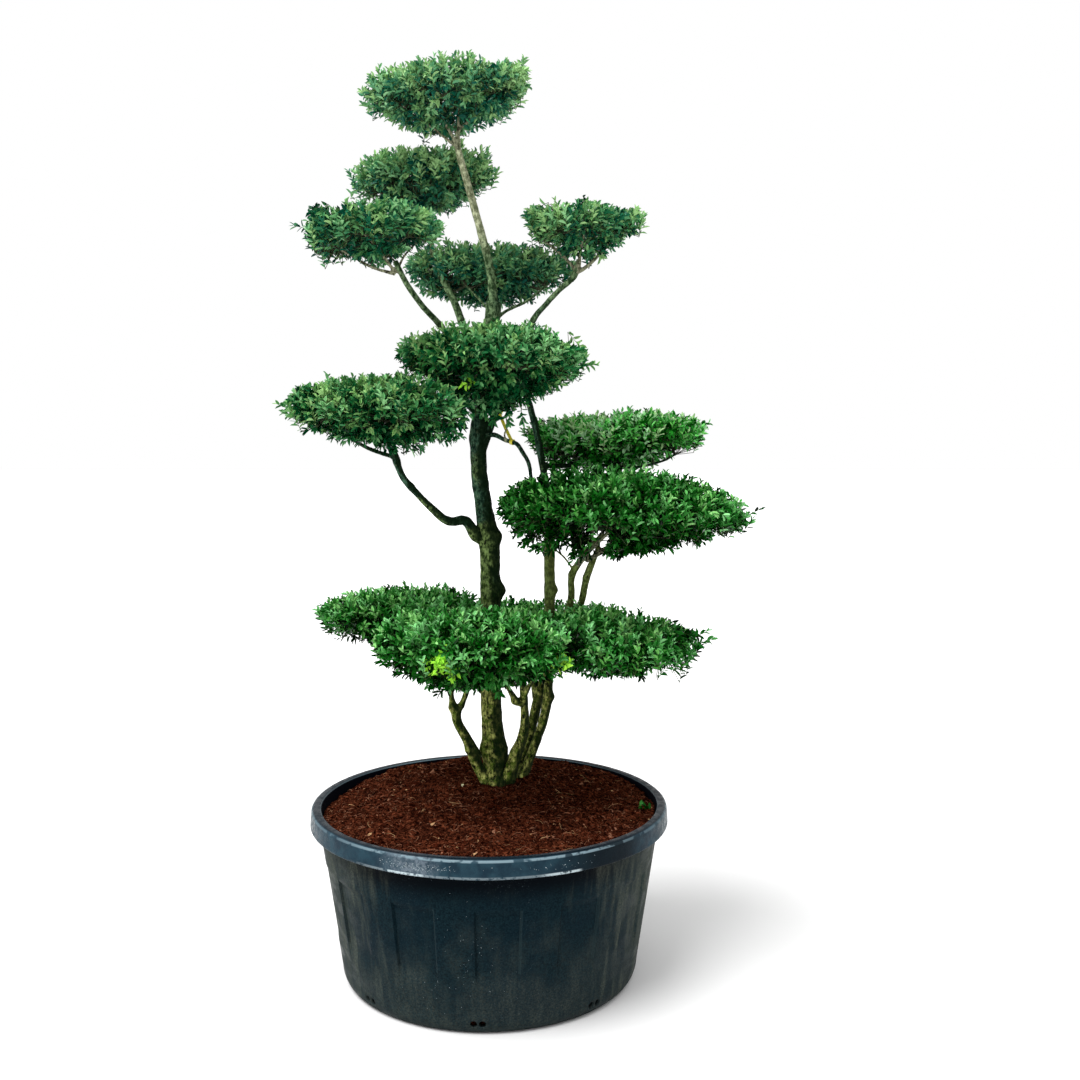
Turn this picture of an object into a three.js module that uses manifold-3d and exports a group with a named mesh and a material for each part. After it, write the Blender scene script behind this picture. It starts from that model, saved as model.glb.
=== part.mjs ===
// Potted Japanese holly, trained as a cloud-pruned tree in a large round nursery pot.
// Millimetres, +Z up. The origin is the centre of the pot's flat underside.
// +X is to the viewer's right and +Y is away from the viewer.

import * as THREE from 'three';
import { mergeVertices } from 'three/addons/utils/BufferGeometryUtils.js';
import Module from 'manifold-3d';

const wasm = await Module();
wasm.setup();

// Driving dimensions of the pot
const footRadius = 366;
const heelRadius = 391;
const heelHeight = 40;
const heelTurns = [0, 30, 60];
const shoulderRadius = 447;
const lipUnderside = 407;
const rimRadius = 470;
const rimTop = 455;
const rimInnerRadius = 441;
const rimRounding = 5;
const lipUndersideSlope = 3;
const lipBevelWidth = 12;
const lipBevelHeight = 10;
const wallThickness = 6;
const floorThickness = 8;

// Thirteen shallow sunk panels round the pot's wall, one a little right of the front
const panelCount = 13;
const panelPitch = 360 / panelCount;
const firstPanelAngle = -85.1;
const panelHalfAngle = 7.1;
const panelSideAngle = 0.8;
const panelDepth = 3;
const panelBottom = 110;
const panelTop = 318;
const panelStep = 8;

// Eight pairs of drainage holes through the heel of the pot
const drainPairs = 8;
const firstDrainAngle = -92;
const drainHalfSpacing = 1.55;
const drainRadius = 7;
const drainHeight = 30;
const drainSides = 5;
const drainCutLength = 60;

// Soil, a low mound whose level patch carries the feet of the stems
const soilEdgeHeight = 442;
const soilLevel = 470;
const soilPatchCentre = [45, 95];
const soilPatchRadius = 120;
const soilColumns = 28;
const soilSlopeShares = [0.7, 0.35, 0];
const moundPower = 1.2;
const rippleHeight = 3;
const rippleAcross = 47;
const rippleDeep = 39;

// Gaps between touching pieces: wood and straps, leafy clouds, and soil against the pot's
// many-sided wall and its corners
const gap = 0.35;
const cloudGap = 1.2;
const soilWallGap = 1.3;
const soilCornerGap = 2;

// Wood: the length between a limb's rings, its usual number of sides, and the root lobes
const limbRingStep = 72;
const limbSides = 7;
const flareLobes = 4;
const flareLobeDepth = 0.28;
const flareTurn = 0.6;
const flareLength = 55;

// Foliage clouds: columns round each, and the fractions of the half width where its rings lie
const cloudColumns = 14;
const undersideRings = [0.4, 0.75];
const topRings = [0.88, 0.55];

// Usual roundness of a cloud above and below its rim, and the uneven waves in its outline and face
const usualCrown = 2.5;
const usualBelly = 1.6;
const outlineWaves = [3, 5, 8];
const outlineWaveSize = 0.09;
const pullSharpness = 4;
const bumpHeight = 7;
const bumpsRound = 4;
const bumpTwist = 5;

// Yellow strap that draws the drooping bough towards the limb above it
const tieTop = [22, 87, 1484];
const tieFoot = [60, 21, 1402];
const tieWidth = 8;
const tieThickness = 1.6;

// Colours and finishes
const bark = { color: 0x5a5a48, roughness: 0.9, metalness: 0 };
const foliage = { color: 0x1f5a2e, roughness: 0.55, metalness: 0 };
const pot = { color: 0x28323a, roughness: 0.5, metalness: 0 };
const soil = { color: 0x4a2418, roughness: 1, metalness: 0 };
const strap = { color: 0xc8b428, roughness: 0.5, metalness: 0 };

const radians = (degrees) => (degrees * Math.PI) / 180;

// A repeatable stream of numbers from 0 to 1
function randomStream(seed) {
  let state = seed;
  return () => {
    state = (state + 0x6d2b79f5) | 0;
    let mixed = Math.imul(state ^ (state >>> 15), 1 | state);
    mixed = (mixed + Math.imul(mixed ^ (mixed >>> 7), 61 | mixed)) ^ mixed;
    return ((mixed ^ (mixed >>> 14)) >>> 0) / 4294967296;
  };
}

// A closed skin from a first pole, through rings of equal length, to a last pole
function closedSkin(firstPole, rings, lastPole) {
  const columns = rings[0].length;
  const points = [firstPole, ...rings.flat(), lastPole];
  const at = (ring, column) => 1 + ring * columns + (column % columns);
  const faces = [];
  for (let column = 0; column < columns; column += 1) {
    faces.push(0, at(0, column + 1), at(0, column));
    for (let ring = 0; ring + 1 < rings.length; ring += 1) {
      faces.push(at(ring, column), at(ring, column + 1), at(ring + 1, column + 1));
      faces.push(at(ring, column), at(ring + 1, column + 1), at(ring + 1, column));
    }
    faces.push(at(rings.length - 1, column), at(rings.length - 1, column + 1), points.length - 1);
  }
  const geometry = new THREE.BufferGeometry().setFromPoints(points);
  geometry.setIndex(faces);
  return geometry;
}

function toSolid(geometry) {
  const plain = geometry.clone();
  plain.deleteAttribute('normal');
  plain.deleteAttribute('uv');
  const merged = mergeVertices(plain);
  const mesh = new wasm.Mesh({
    numProp: 3,
    vertProperties: new Float32Array(merged.attributes.position.array),
    triVerts: new Uint32Array(merged.index.array),
  });
  return new wasm.Manifold(mesh);
}

function toGeometry(solid) {
  const mesh = solid.getMesh();
  const geometry = new THREE.BufferGeometry();
  geometry.setAttribute('position', new THREE.BufferAttribute(new Float32Array(mesh.vertProperties), 3));
  geometry.setIndex(new THREE.BufferAttribute(new Uint32Array(mesh.triVerts), 1));
  return geometry;
}

const model = new THREE.Group();

function addNode(name, solid, finish) {
  const mesh = new THREE.Mesh(toGeometry(solid), new THREE.MeshStandardMaterial(finish));
  mesh.name = name;
  model.add(mesh);
}

// Pot wall radius at a height, between the heel and the shoulder
function wallRadius(height) {
  const rise = (height - heelHeight) / (lipUnderside - heelHeight);
  return THREE.MathUtils.lerp(heelRadius, shoulderRadius, rise);
}

// Inner face of the pot at a height, straight from the heel to the rim
function innerRadius(height) {
  const rise = (height - heelHeight) / (rimTop - rimRounding - heelHeight);
  return THREE.MathUtils.lerp(heelRadius - wallThickness, rimInnerRadius, rise);
}

// Angles of the pot's columns: close pairs at the panels' edges, wider steps between
function potAngles() {
  const angles = [];
  for (let panel = 0; panel < panelCount; panel += 1) {
    const centre = firstPanelAngle + panel * panelPitch;
    const edge = panelHalfAngle + panelSideAngle;
    for (const offset of [-edge, -panelHalfAngle, 0, panelHalfAngle, edge]) {
      angles.push({ angle: centre + offset, sunk: Math.abs(offset) <= panelHalfAngle });
    }
    angles.push({ angle: centre + panelPitch / 2, sunk: false });
  }
  return angles;
}

function potGeometry() {
  const heelRows = heelTurns.map((turn) => ({
    radius: THREE.MathUtils.lerp(footRadius, heelRadius, Math.sin(radians(turn))),
    height: heelHeight * (1 - Math.cos(radians(turn))),
  }));
  const rows = [
    ...heelRows,
    { radius: wallRadius(panelBottom), height: panelBottom },
    { radius: wallRadius(panelBottom + panelStep), height: panelBottom + panelStep, panel: true },
    { radius: wallRadius(panelTop - panelStep), height: panelTop - panelStep, panel: true },
    { radius: wallRadius(panelTop), height: panelTop },
    { radius: shoulderRadius, height: lipUnderside },
    { radius: rimRadius, height: lipUnderside + lipUndersideSlope },
    { radius: rimRadius, height: rimTop - lipBevelHeight },
    { radius: rimRadius - lipBevelWidth, height: rimTop },
    { radius: rimInnerRadius, height: rimTop - rimRounding },
    { radius: innerRadius(heelHeight), height: heelHeight },
    { radius: footRadius, height: floorThickness },
  ];
  const rings = rows.map((row) =>
    potAngles().map(({ angle, sunk }) => {
      const radius = row.radius - (row.panel && sunk ? panelDepth : 0);
      const turn = radians(angle);
      return new THREE.Vector3(radius * Math.cos(turn), radius * Math.sin(turn), row.height);
    }),
  );
  return closedSkin(new THREE.Vector3(0, 0, 0), rings, new THREE.Vector3(0, 0, floorThickness));
}

function drainCutter(angle) {
  const cutter = new THREE.CylinderGeometry(drainRadius, drainRadius, drainCutLength, drainSides);
  cutter.rotateZ(Math.PI / 2);
  cutter.translate(heelRadius, 0, drainHeight);
  cutter.rotateZ(radians(angle));
  return toSolid(cutter);
}

function potSolid() {
  let solid = toSolid(potGeometry());
  for (let pair = 0; pair < drainPairs; pair += 1) {
    const centre = firstDrainAngle + (pair * 360) / drainPairs;
    for (const side of [-1, 1]) {
      solid = solid.subtract(drainCutter(centre + side * drainHalfSpacing));
    }
  }
  return solid;
}

// Height of the soil: level under the stems, falling to the edge along the inside of the pot
function soilHeight(x, y) {
  const fromPatch = Math.hypot(x - soilPatchCentre[0], y - soilPatchCentre[1]);
  const fromAxis = Math.hypot(x, y);
  const toEdge = Math.max(0, rimInnerRadius - fromAxis);
  const share = THREE.MathUtils.clamp(toEdge / (toEdge + Math.max(0, fromPatch - soilPatchRadius)), 0, 1);
  const ripple = rippleHeight * Math.sin(x / rippleAcross) * Math.cos(y / rippleDeep) * (1 - share);
  return THREE.MathUtils.lerp(soilEdgeHeight, soilLevel, share ** moundPower) + ripple;
}

function soilSolid() {
  const bottom = floorThickness + gap;
  const sideRows = [
    { radius: footRadius - soilCornerGap, height: bottom },
    { radius: innerRadius(heelHeight) - soilWallGap, height: heelHeight },
  ];
  const ringAt = (radiusOf, heightOf) => {
    const ring = [];
    for (let column = 0; column < soilColumns; column += 1) {
      const angle = (column * 2 * Math.PI) / soilColumns;
      const [x, y] = radiusOf(angle);
      ring.push(new THREE.Vector3(x, y, heightOf(x, y)));
    }
    return ring;
  };
  const circle = (radius) => (angle) => [radius * Math.cos(angle), radius * Math.sin(angle)];
  const rings = sideRows.map((row) => ringAt(circle(row.radius), () => row.height));
  const edgeRadius = innerRadius(soilEdgeHeight) - soilCornerGap;
  rings.push(ringAt(circle(edgeRadius), soilHeight));
  for (const share of soilSlopeShares) {
    rings.push(ringAt((angle) => {
      const [x, y] = circle(THREE.MathUtils.lerp(soilPatchRadius, edgeRadius, share))(angle);
      return [x + soilPatchCentre[0] * (1 - share), y + soilPatchCentre[1] * (1 - share)];
    }, share === 0 ? () => soilLevel : soilHeight));
  }
  const middle = new THREE.Vector3(soilPatchCentre[0], soilPatchCentre[1], soilLevel);
  return toSolid(closedSkin(new THREE.Vector3(0, 0, bottom), rings, middle));
}

// Value at a share from 0 to 1 along a short list, blended smoothly between its entries
function along(values, share) {
  const place = share * (values.length - 1);
  const first = Math.min(Math.floor(place), values.length - 2);
  const blend = THREE.MathUtils.smoothstep(place - first, 0, 1);
  return THREE.MathUtils.lerp(values[first], values[first + 1], blend);
}

// Limb: rings square to a smooth curve through its points, tapering through its radii.
// A limb with a flare spreads into root lobes near its start.
function limbGeometry({ points, radii, sides = limbSides, flare = 0 }, grow) {
  const route = points.map((point) => new THREE.Vector3(...point));
  const curve = new THREE.CatmullRomCurve3(route, false, 'centripetal');
  const ringCount = Math.max(3, Math.round(curve.getLength() / limbRingStep));
  const frames = curve.computeFrenetFrames(ringCount, false);
  const rings = [];
  for (let ring = 0; ring <= ringCount; ring += 1) {
    const share = ring / ringCount;
    const centre = curve.getPointAt(share);
    const travelled = share * curve.getLength();
    if (ring === 0) centre.addScaledVector(frames.tangents[ring], -grow);
    if (ring === ringCount) centre.addScaledVector(frames.tangents[ring], grow);
    const spread = flare * Math.exp(-travelled / flareLength);
    const section = [];
    for (let side = 0; side < sides; side += 1) {
      const angle = (side * 2 * Math.PI) / sides;
      const lobes = 1 + flareLobeDepth * Math.sin(flareLobes * angle + flareTurn);
      const radius = along(radii, curve.getUtoTmapping(share)) + spread * lobes + grow;
      section.push(centre.clone()
        .addScaledVector(frames.normals[ring], radius * Math.cos(angle))
        .addScaledVector(frames.binormals[ring], radius * Math.sin(angle)));
    }
    rings.push(section);
  }
  const start = curve.getPointAt(0).addScaledVector(frames.tangents[0], -grow);
  const end = curve.getPointAt(1).addScaledVector(frames.tangents[ringCount], grow);
  return closedSkin(start, rings, end);
}

// Wood, in the order in which it grows: each limb is trimmed to fit the ones before it.
// The stems start below the soil's surface, and the cut at that surface gives their flat feet.
const limbs = [
  {
    name: 'trunk', sides: 12, flare: 34,
    points: [[20, 90, 440], [9, 88, 570], [0, 86, 733], [0, 84, 971], [-4, 84, 1120],
      [-25, 83, 1273], [-32, 80, 1406], [-22, 78, 1512], [-2, 75, 1630], [12, 71, 1768]],
    radii: [29, 29, 27.5, 27, 27, 21.5, 21.5, 20, 19.5, 23],
  },
  {
    name: 'leader',
    points: [[11, 71, 1735], [4, 68, 1840], [-10, 66, 1904], [-45, 58, 2034], [-80, 45, 2165],
      [-88, 40, 2200]],
    radii: [14, 11, 10.3, 10, 10, 9],
  },
  {
    name: 'stem_right',
    points: [[72, 102, 440], [107, 110, 542], [149, 120, 668], [158, 124, 861], [159, 130, 1105],
      [160, 132, 1200], [141, 130, 1331], [122, 122, 1433], [98, 104, 1530], [92, 96, 1565]],
    radii: [18, 12.5, 12.5, 14, 15, 14, 9.5, 9, 8, 7],
  },
  {
    name: 'stem_back',
    points: [[60, 112, 440], [95, 150, 548], [131, 168, 702], [168, 155, 834], [216, 110, 970],
      [219, 85, 1042], [245, 66, 1090], [300, 42, 1160]],
    radii: [15, 13, 13.5, 12, 9.5, 9.5, 8.5, 6.5],
  },
  {
    name: 'stem_inner',
    points: [[171, 153, 838], [215, 150, 900], [246, 128, 965], [254, 108, 1010], [262, 88, 1048],
      [292, 100, 1120]],
    radii: [6, 10, 9.5, 9.3, 9.3, 7],
  },
  {
    name: 'stem_front',
    points: [[36, 76, 440], [68, 55, 556], [90, 40, 634], [91, 20, 710], [84, -10, 790], [75, -50, 850]],
    radii: [20, 15, 12.5, 10.5, 8.5, 7],
  },
  {
    name: 'stem_left',
    points: [[8, 86, 440], [-31, 65, 515], [-58, 45, 594], [-88, 30, 658], [-91, 25, 700]],
    radii: [20, 14.5, 13.5, 13, 12.5],
  },
  {
    name: 'fork_left_outer', sides: 6,
    points: [[-91, 25, 690], [-102, 20, 722], [-104, 30, 770], [-140, 60, 850]],
    radii: [8.5, 7, 6.5, 5.5],
  },
  {
    name: 'fork_left_inner', sides: 6,
    points: [[-90, 25, 686], [-72, 28, 712], [-59, 25, 760], [-70, -20, 840]],
    radii: [8, 7.2, 7, 5.5],
  },
  {
    name: 'bough_low_right',
    points: [[156, 122, 770], [215, 90, 815], [310, 50, 860]],
    radii: [10, 8.5, 7],
  },
  {
    name: 'bough_low_back',
    points: [[122, 169, 690], [110, 230, 760], [90, 310, 830]],
    radii: [9.5, 8.5, 7],
  },
  {
    name: 'bough_left',
    points: [[-7, 84, 1130], [-42, 68, 1160], [-66, 54, 1193], [-108, 36, 1192], [-150, 18, 1227],
      [-182, 4, 1261], [-222, -12, 1310], [-243, -20, 1372], [-250, -26, 1412]],
    radii: [15, 14, 12.5, 11, 10, 9, 8.5, 8.5, 7.5],
  },
  {
    name: 'bough_drooping', sides: 6,
    points: [[-28, 80, 1412], [9, 60, 1420], [44, 32, 1405], [72, 12, 1396], [88, 0, 1374],
      [104, -10, 1345], [112, -16, 1285]],
    radii: [8, 6, 5.5, 5.5, 5.3, 5.2, 5],
  },
  {
    name: 'bough_upper_right',
    points: [[-24, 79, 1378], [8, 86, 1460], [56, 92, 1535], [98, 90, 1600], [112, 86, 1717],
      [149, 85, 1764], [181, 85, 1798], [223, 85, 1838], [236, 85, 1880]],
    radii: [13, 11, 10, 9, 8, 7.5, 7.4, 7.5, 7],
  },
  {
    name: 'bough_upper_left',
    points: [[-22, 78, 1520], [-71, 40, 1620], [-119, 0, 1694], [-167, -42, 1747], [-200, -72, 1794],
      [-228, -92, 1850]],
    radii: [12, 9.5, 8, 7.2, 7, 7],
  },
  {
    name: 'bough_upper_back',
    points: [[-8, 76, 1590], [-48, 98, 1658], [-73, 115, 1713], [-98, 135, 1778], [-149, 175, 1885],
      [-180, 205, 2030]],
    radii: [13, 10.5, 9.5, 9.3, 9, 8],
  },
  {
    name: 'bough_middle_back', sides: 6,
    points: [[-20, 78, 1525], [0, 150, 1530], [20, 290, 1565]],
    radii: [10, 8, 7],
  },
  {
    name: 'bough_behind_left', sides: 6,
    points: [[8, 72, 1738], [-32, 110, 1783], [-72, 150, 1828]],
    radii: [6.5, 5, 4],
  },
  {
    name: 'bough_behind_right', sides: 6,
    points: [[8, 73, 1718], [43, 95, 1747], [98, 125, 1777], [150, 160, 1822]],
    radii: [8, 5.5, 4.8, 4],
  },
  {
    name: 'bough_right_back', sides: 6,
    points: [[139, 129, 1338], [190, 160, 1336], [260, 190, 1345], [340, 215, 1372]],
    radii: [7.5, 6.5, 6, 5.5],
  },
];

// Foliage clouds. Across and deep are half widths, rim is the height of the widest ring,
// rise and drop reach from there to the top and to the keel, and keel is the keel's shift
// from the centre. A low crown or belly number gives a cone above or below, a high one a box.
// Lean tips the cloud up to the right, and pull draws the outline out into a tip at an angle.
// The front ones come first, and each later one is trimmed to fit them.
const clouds = [
  {
    name: 'cloud_top', centre: [-97, 20], rim: 2291, across: 214, deep: 190, rise: 58, drop: 120,
    keel: [-8, 20], crown: 2.9, belly: 1.8, lean: 0.07, seed: 11,
  },
  {
    name: 'cloud_upper_left', centre: [-286, -110], rim: 1920, across: 178, deep: 185, rise: 55, drop: 92,
    keel: [24, 18], belly: 1.35, lean: 0.07, pull: { angle: 180, reach: 0.12 }, seed: 12,
  },
  {
    name: 'cloud_upper_back', centre: [-177, 225], rim: 2117, across: 194, deep: 185, rise: 68, drop: 118,
    keel: [0, -20], lean: 0.06, seed: 13,
  },
  {
    name: 'cloud_behind_leader', centre: [-2, 245], rim: 1875, across: 230, deep: 168, rise: 62, drop: 118,
    keel: [-34, -20], belly: 1.8, seed: 14,
  },
  {
    name: 'cloud_upper_right', centre: [239, 85], rim: 1983, across: 164, deep: 158, rise: 25, drop: 134,
    keel: [20, 0], belly: 1.35, seed: 15,
  },
  {
    name: 'cloud_middle', centre: [25, -50], rim: 1614, across: 249, deep: 208, rise: 87, drop: 166,
    keel: [-52, 20], crown: 2, belly: 1.4, seed: 16,
  },
  {
    name: 'cloud_left', centre: [-250, -70], rim: 1489, across: 247, deep: 220, rise: 77, drop: 122,
    keel: [18, 30], crown: 2.5, lean: 0.01, pull: { angle: 180, reach: 0.08 }, seed: 17,
  },
  {
    name: 'cloud_middle_back', centre: [15, 320], rim: 1590, across: 190, deep: 140, rise: 45, drop: 75,
    keel: [0, -20], seed: 18,
  },
  {
    name: 'cloud_right', centre: [336, -40], rim: 1222, across: 320, deep: 250, rise: 114, drop: 114,
    keel: [-70, 30], crown: 1.8, belly: 1.9, lean: -0.05, pull: { angle: 0, reach: 0.05 }, seed: 19,
  },
  {
    name: 'cloud_right_back', centre: [347, 225], rim: 1425, across: 258, deep: 190, rise: 56, drop: 114,
    keel: [-66, 0], belly: 1.9, lean: 0.03, seed: 20,
  },
  {
    name: 'cloud_low_front', centre: [-26, -140], rim: 884, across: 264, deep: 235, rise: 96, drop: 122,
    keel: [6, 60], belly: 1.5, lean: -0.05, seed: 21,
  },
  {
    name: 'cloud_low_left', centre: [-236, 140], rim: 929, across: 216, deep: 220, rise: 69, drop: 100,
    keel: [80, -60], belly: 1.4, lean: -0.01, pull: { angle: 170, reach: 0.1 }, seed: 22,
  },
  {
    name: 'cloud_low_right', centre: [333, 10], rim: 872, across: 207, deep: 220, rise: 80, drop: 98,
    keel: [-50, 30], crown: 1.7, belly: 1.5, lean: -0.04, pull: { angle: 0, reach: 0.12 }, seed: 23,
  },
  {
    name: 'cloud_low_back', centre: [70, 330], rim: 874, across: 270, deep: 170, rise: 60, drop: 85,
    keel: [10, -20], seed: 24,
  },
];

// Outline and surface of a cloud: lobed in plan, rounded above, running in to a keel below
function cloudGeometry(cloud, grow) {
  const random = randomStream(cloud.seed);
  const waves = outlineWaves.map((count) => ({
    count,
    phase: random() * 2 * Math.PI,
    size: outlineWaveSize / Math.sqrt(count),
  }));
  const bumpPhase = random() * 2 * Math.PI;
  const across = cloud.across + grow;
  const deep = cloud.deep + grow;

  const outline = (angle) => {
    let stretch = 1;
    for (const { count, phase, size } of waves) stretch += size * Math.sin(count * angle + phase);
    if (cloud.pull) {
      const turn = Math.cos(angle - radians(cloud.pull.angle));
      stretch += cloud.pull.reach * Math.max(0, turn) ** pullSharpness;
    }
    return stretch;
  };
  const bump = (angle, share) =>
    bumpHeight * share * Math.sin(bumpsRound * angle + bumpPhase + bumpTwist * share);

  const ringAt = (share, above) => {
    const keelShare = above ? 0 : 1 - share;
    const power = above ? (cloud.crown ?? usualCrown) : (cloud.belly ?? usualBelly);
    const swell = (1 - share ** power) ** (1 / power);
    const height = above ? (cloud.rise + grow) * swell : -(cloud.drop + grow) * swell;
    const ring = [];
    for (let column = 0; column < cloudColumns; column += 1) {
      const angle = (column * 2 * Math.PI) / cloudColumns;
      const reach = share * outline(angle);
      const x = across * reach * Math.cos(angle);
      ring.push(new THREE.Vector3(
        cloud.centre[0] + cloud.keel[0] * keelShare + x,
        cloud.centre[1] + cloud.keel[1] * keelShare + deep * reach * Math.sin(angle),
        cloud.rim + height + x * (cloud.lean ?? 0) + bump(angle, share),
      ));
    }
    return ring;
  };
  const rings = [
    ...undersideRings.map((share) => ringAt(share, false)),
    ringAt(1, true),
    ...topRings.map((share) => ringAt(share, true)),
  ];
  const [x, y] = cloud.centre;
  const bottom = new THREE.Vector3(x + cloud.keel[0], y + cloud.keel[1], cloud.rim - cloud.drop - grow);
  const top = new THREE.Vector3(x, y, cloud.rim + cloud.rise + grow);
  return closedSkin(bottom, rings, top);
}

// Flat band from limb to limb, which the two limbs trim at its ends
function tieSolid() {
  const top = new THREE.Vector3(...tieTop);
  const run = new THREE.Vector3(...tieFoot).sub(top);
  const band = new THREE.BoxGeometry(tieWidth, tieThickness, run.length());
  const upright = new THREE.Vector3(0, 0, 1);
  band.applyQuaternion(new THREE.Quaternion().setFromUnitVectors(upright, run.clone().normalize()));
  band.translate(...top.addScaledVector(run, 0.5).toArray());
  return toSolid(band);
}

// Earth below the level patch, which trims the stems to flat feet
function belowSoil() {
  const block = new THREE.BoxGeometry(2 * rimRadius, 2 * rimRadius, soilLevel);
  block.translate(0, 0, soilLevel / 2 + gap);
  return toSolid(block);
}

addNode('pot', potSolid(), pot);
addNode('soil', soilSolid(), soil);

const trimmers = [belowSoil()];
for (const limb of limbs) {
  const own = toSolid(limbGeometry(limb, 0));
  addNode(limb.name, trimmers.reduce((body, trimmer) => body.subtract(trimmer), own), bark);
  trimmers.push(toSolid(limbGeometry(limb, gap)));
}
const tie = trimmers.reduce((body, trimmer) => body.subtract(trimmer), tieSolid());
addNode('tie', tie, strap);
for (const cloud of clouds) {
  const own = toSolid(cloudGeometry(cloud, 0));
  addNode(cloud.name, trimmers.reduce((body, trimmer) => body.subtract(trimmer), own), foliage);
  trimmers.push(toSolid(cloudGeometry(cloud, cloudGap)));
}

export default model;
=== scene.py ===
# Potted Japanese holly, trained as a cloud-pruned tree in a large round nursery pot.
# Metres, +Z up. +X is to the viewer's right and +Y is away from the viewer.

import math
from typing import NamedTuple

import bpy
import numpy as np
from mathutils.bvhtree import BVHTree
from mathutils.kdtree import KDTree
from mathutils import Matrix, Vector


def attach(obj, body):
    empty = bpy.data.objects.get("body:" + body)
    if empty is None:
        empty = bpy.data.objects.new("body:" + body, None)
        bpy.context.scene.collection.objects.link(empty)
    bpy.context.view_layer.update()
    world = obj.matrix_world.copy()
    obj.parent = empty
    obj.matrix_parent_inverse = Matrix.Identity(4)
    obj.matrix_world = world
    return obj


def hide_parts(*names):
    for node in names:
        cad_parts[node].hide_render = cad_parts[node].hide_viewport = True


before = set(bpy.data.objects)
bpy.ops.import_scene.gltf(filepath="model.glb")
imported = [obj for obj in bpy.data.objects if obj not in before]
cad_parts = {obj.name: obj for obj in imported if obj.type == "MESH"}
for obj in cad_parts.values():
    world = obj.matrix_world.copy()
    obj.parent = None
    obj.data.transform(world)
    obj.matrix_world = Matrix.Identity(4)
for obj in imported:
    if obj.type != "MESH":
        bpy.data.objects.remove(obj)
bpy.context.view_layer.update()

MM = 0.001
UP = np.array([0.0, 0.0, 1.0])

# Camera, as the pot's two ellipses and the upright trunk give it
CAMERA_PLACE = (0.133, -3.10, 1.395)
CAMERA_PITCH = 85.4
CAMERA_LENS = 39.67

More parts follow.
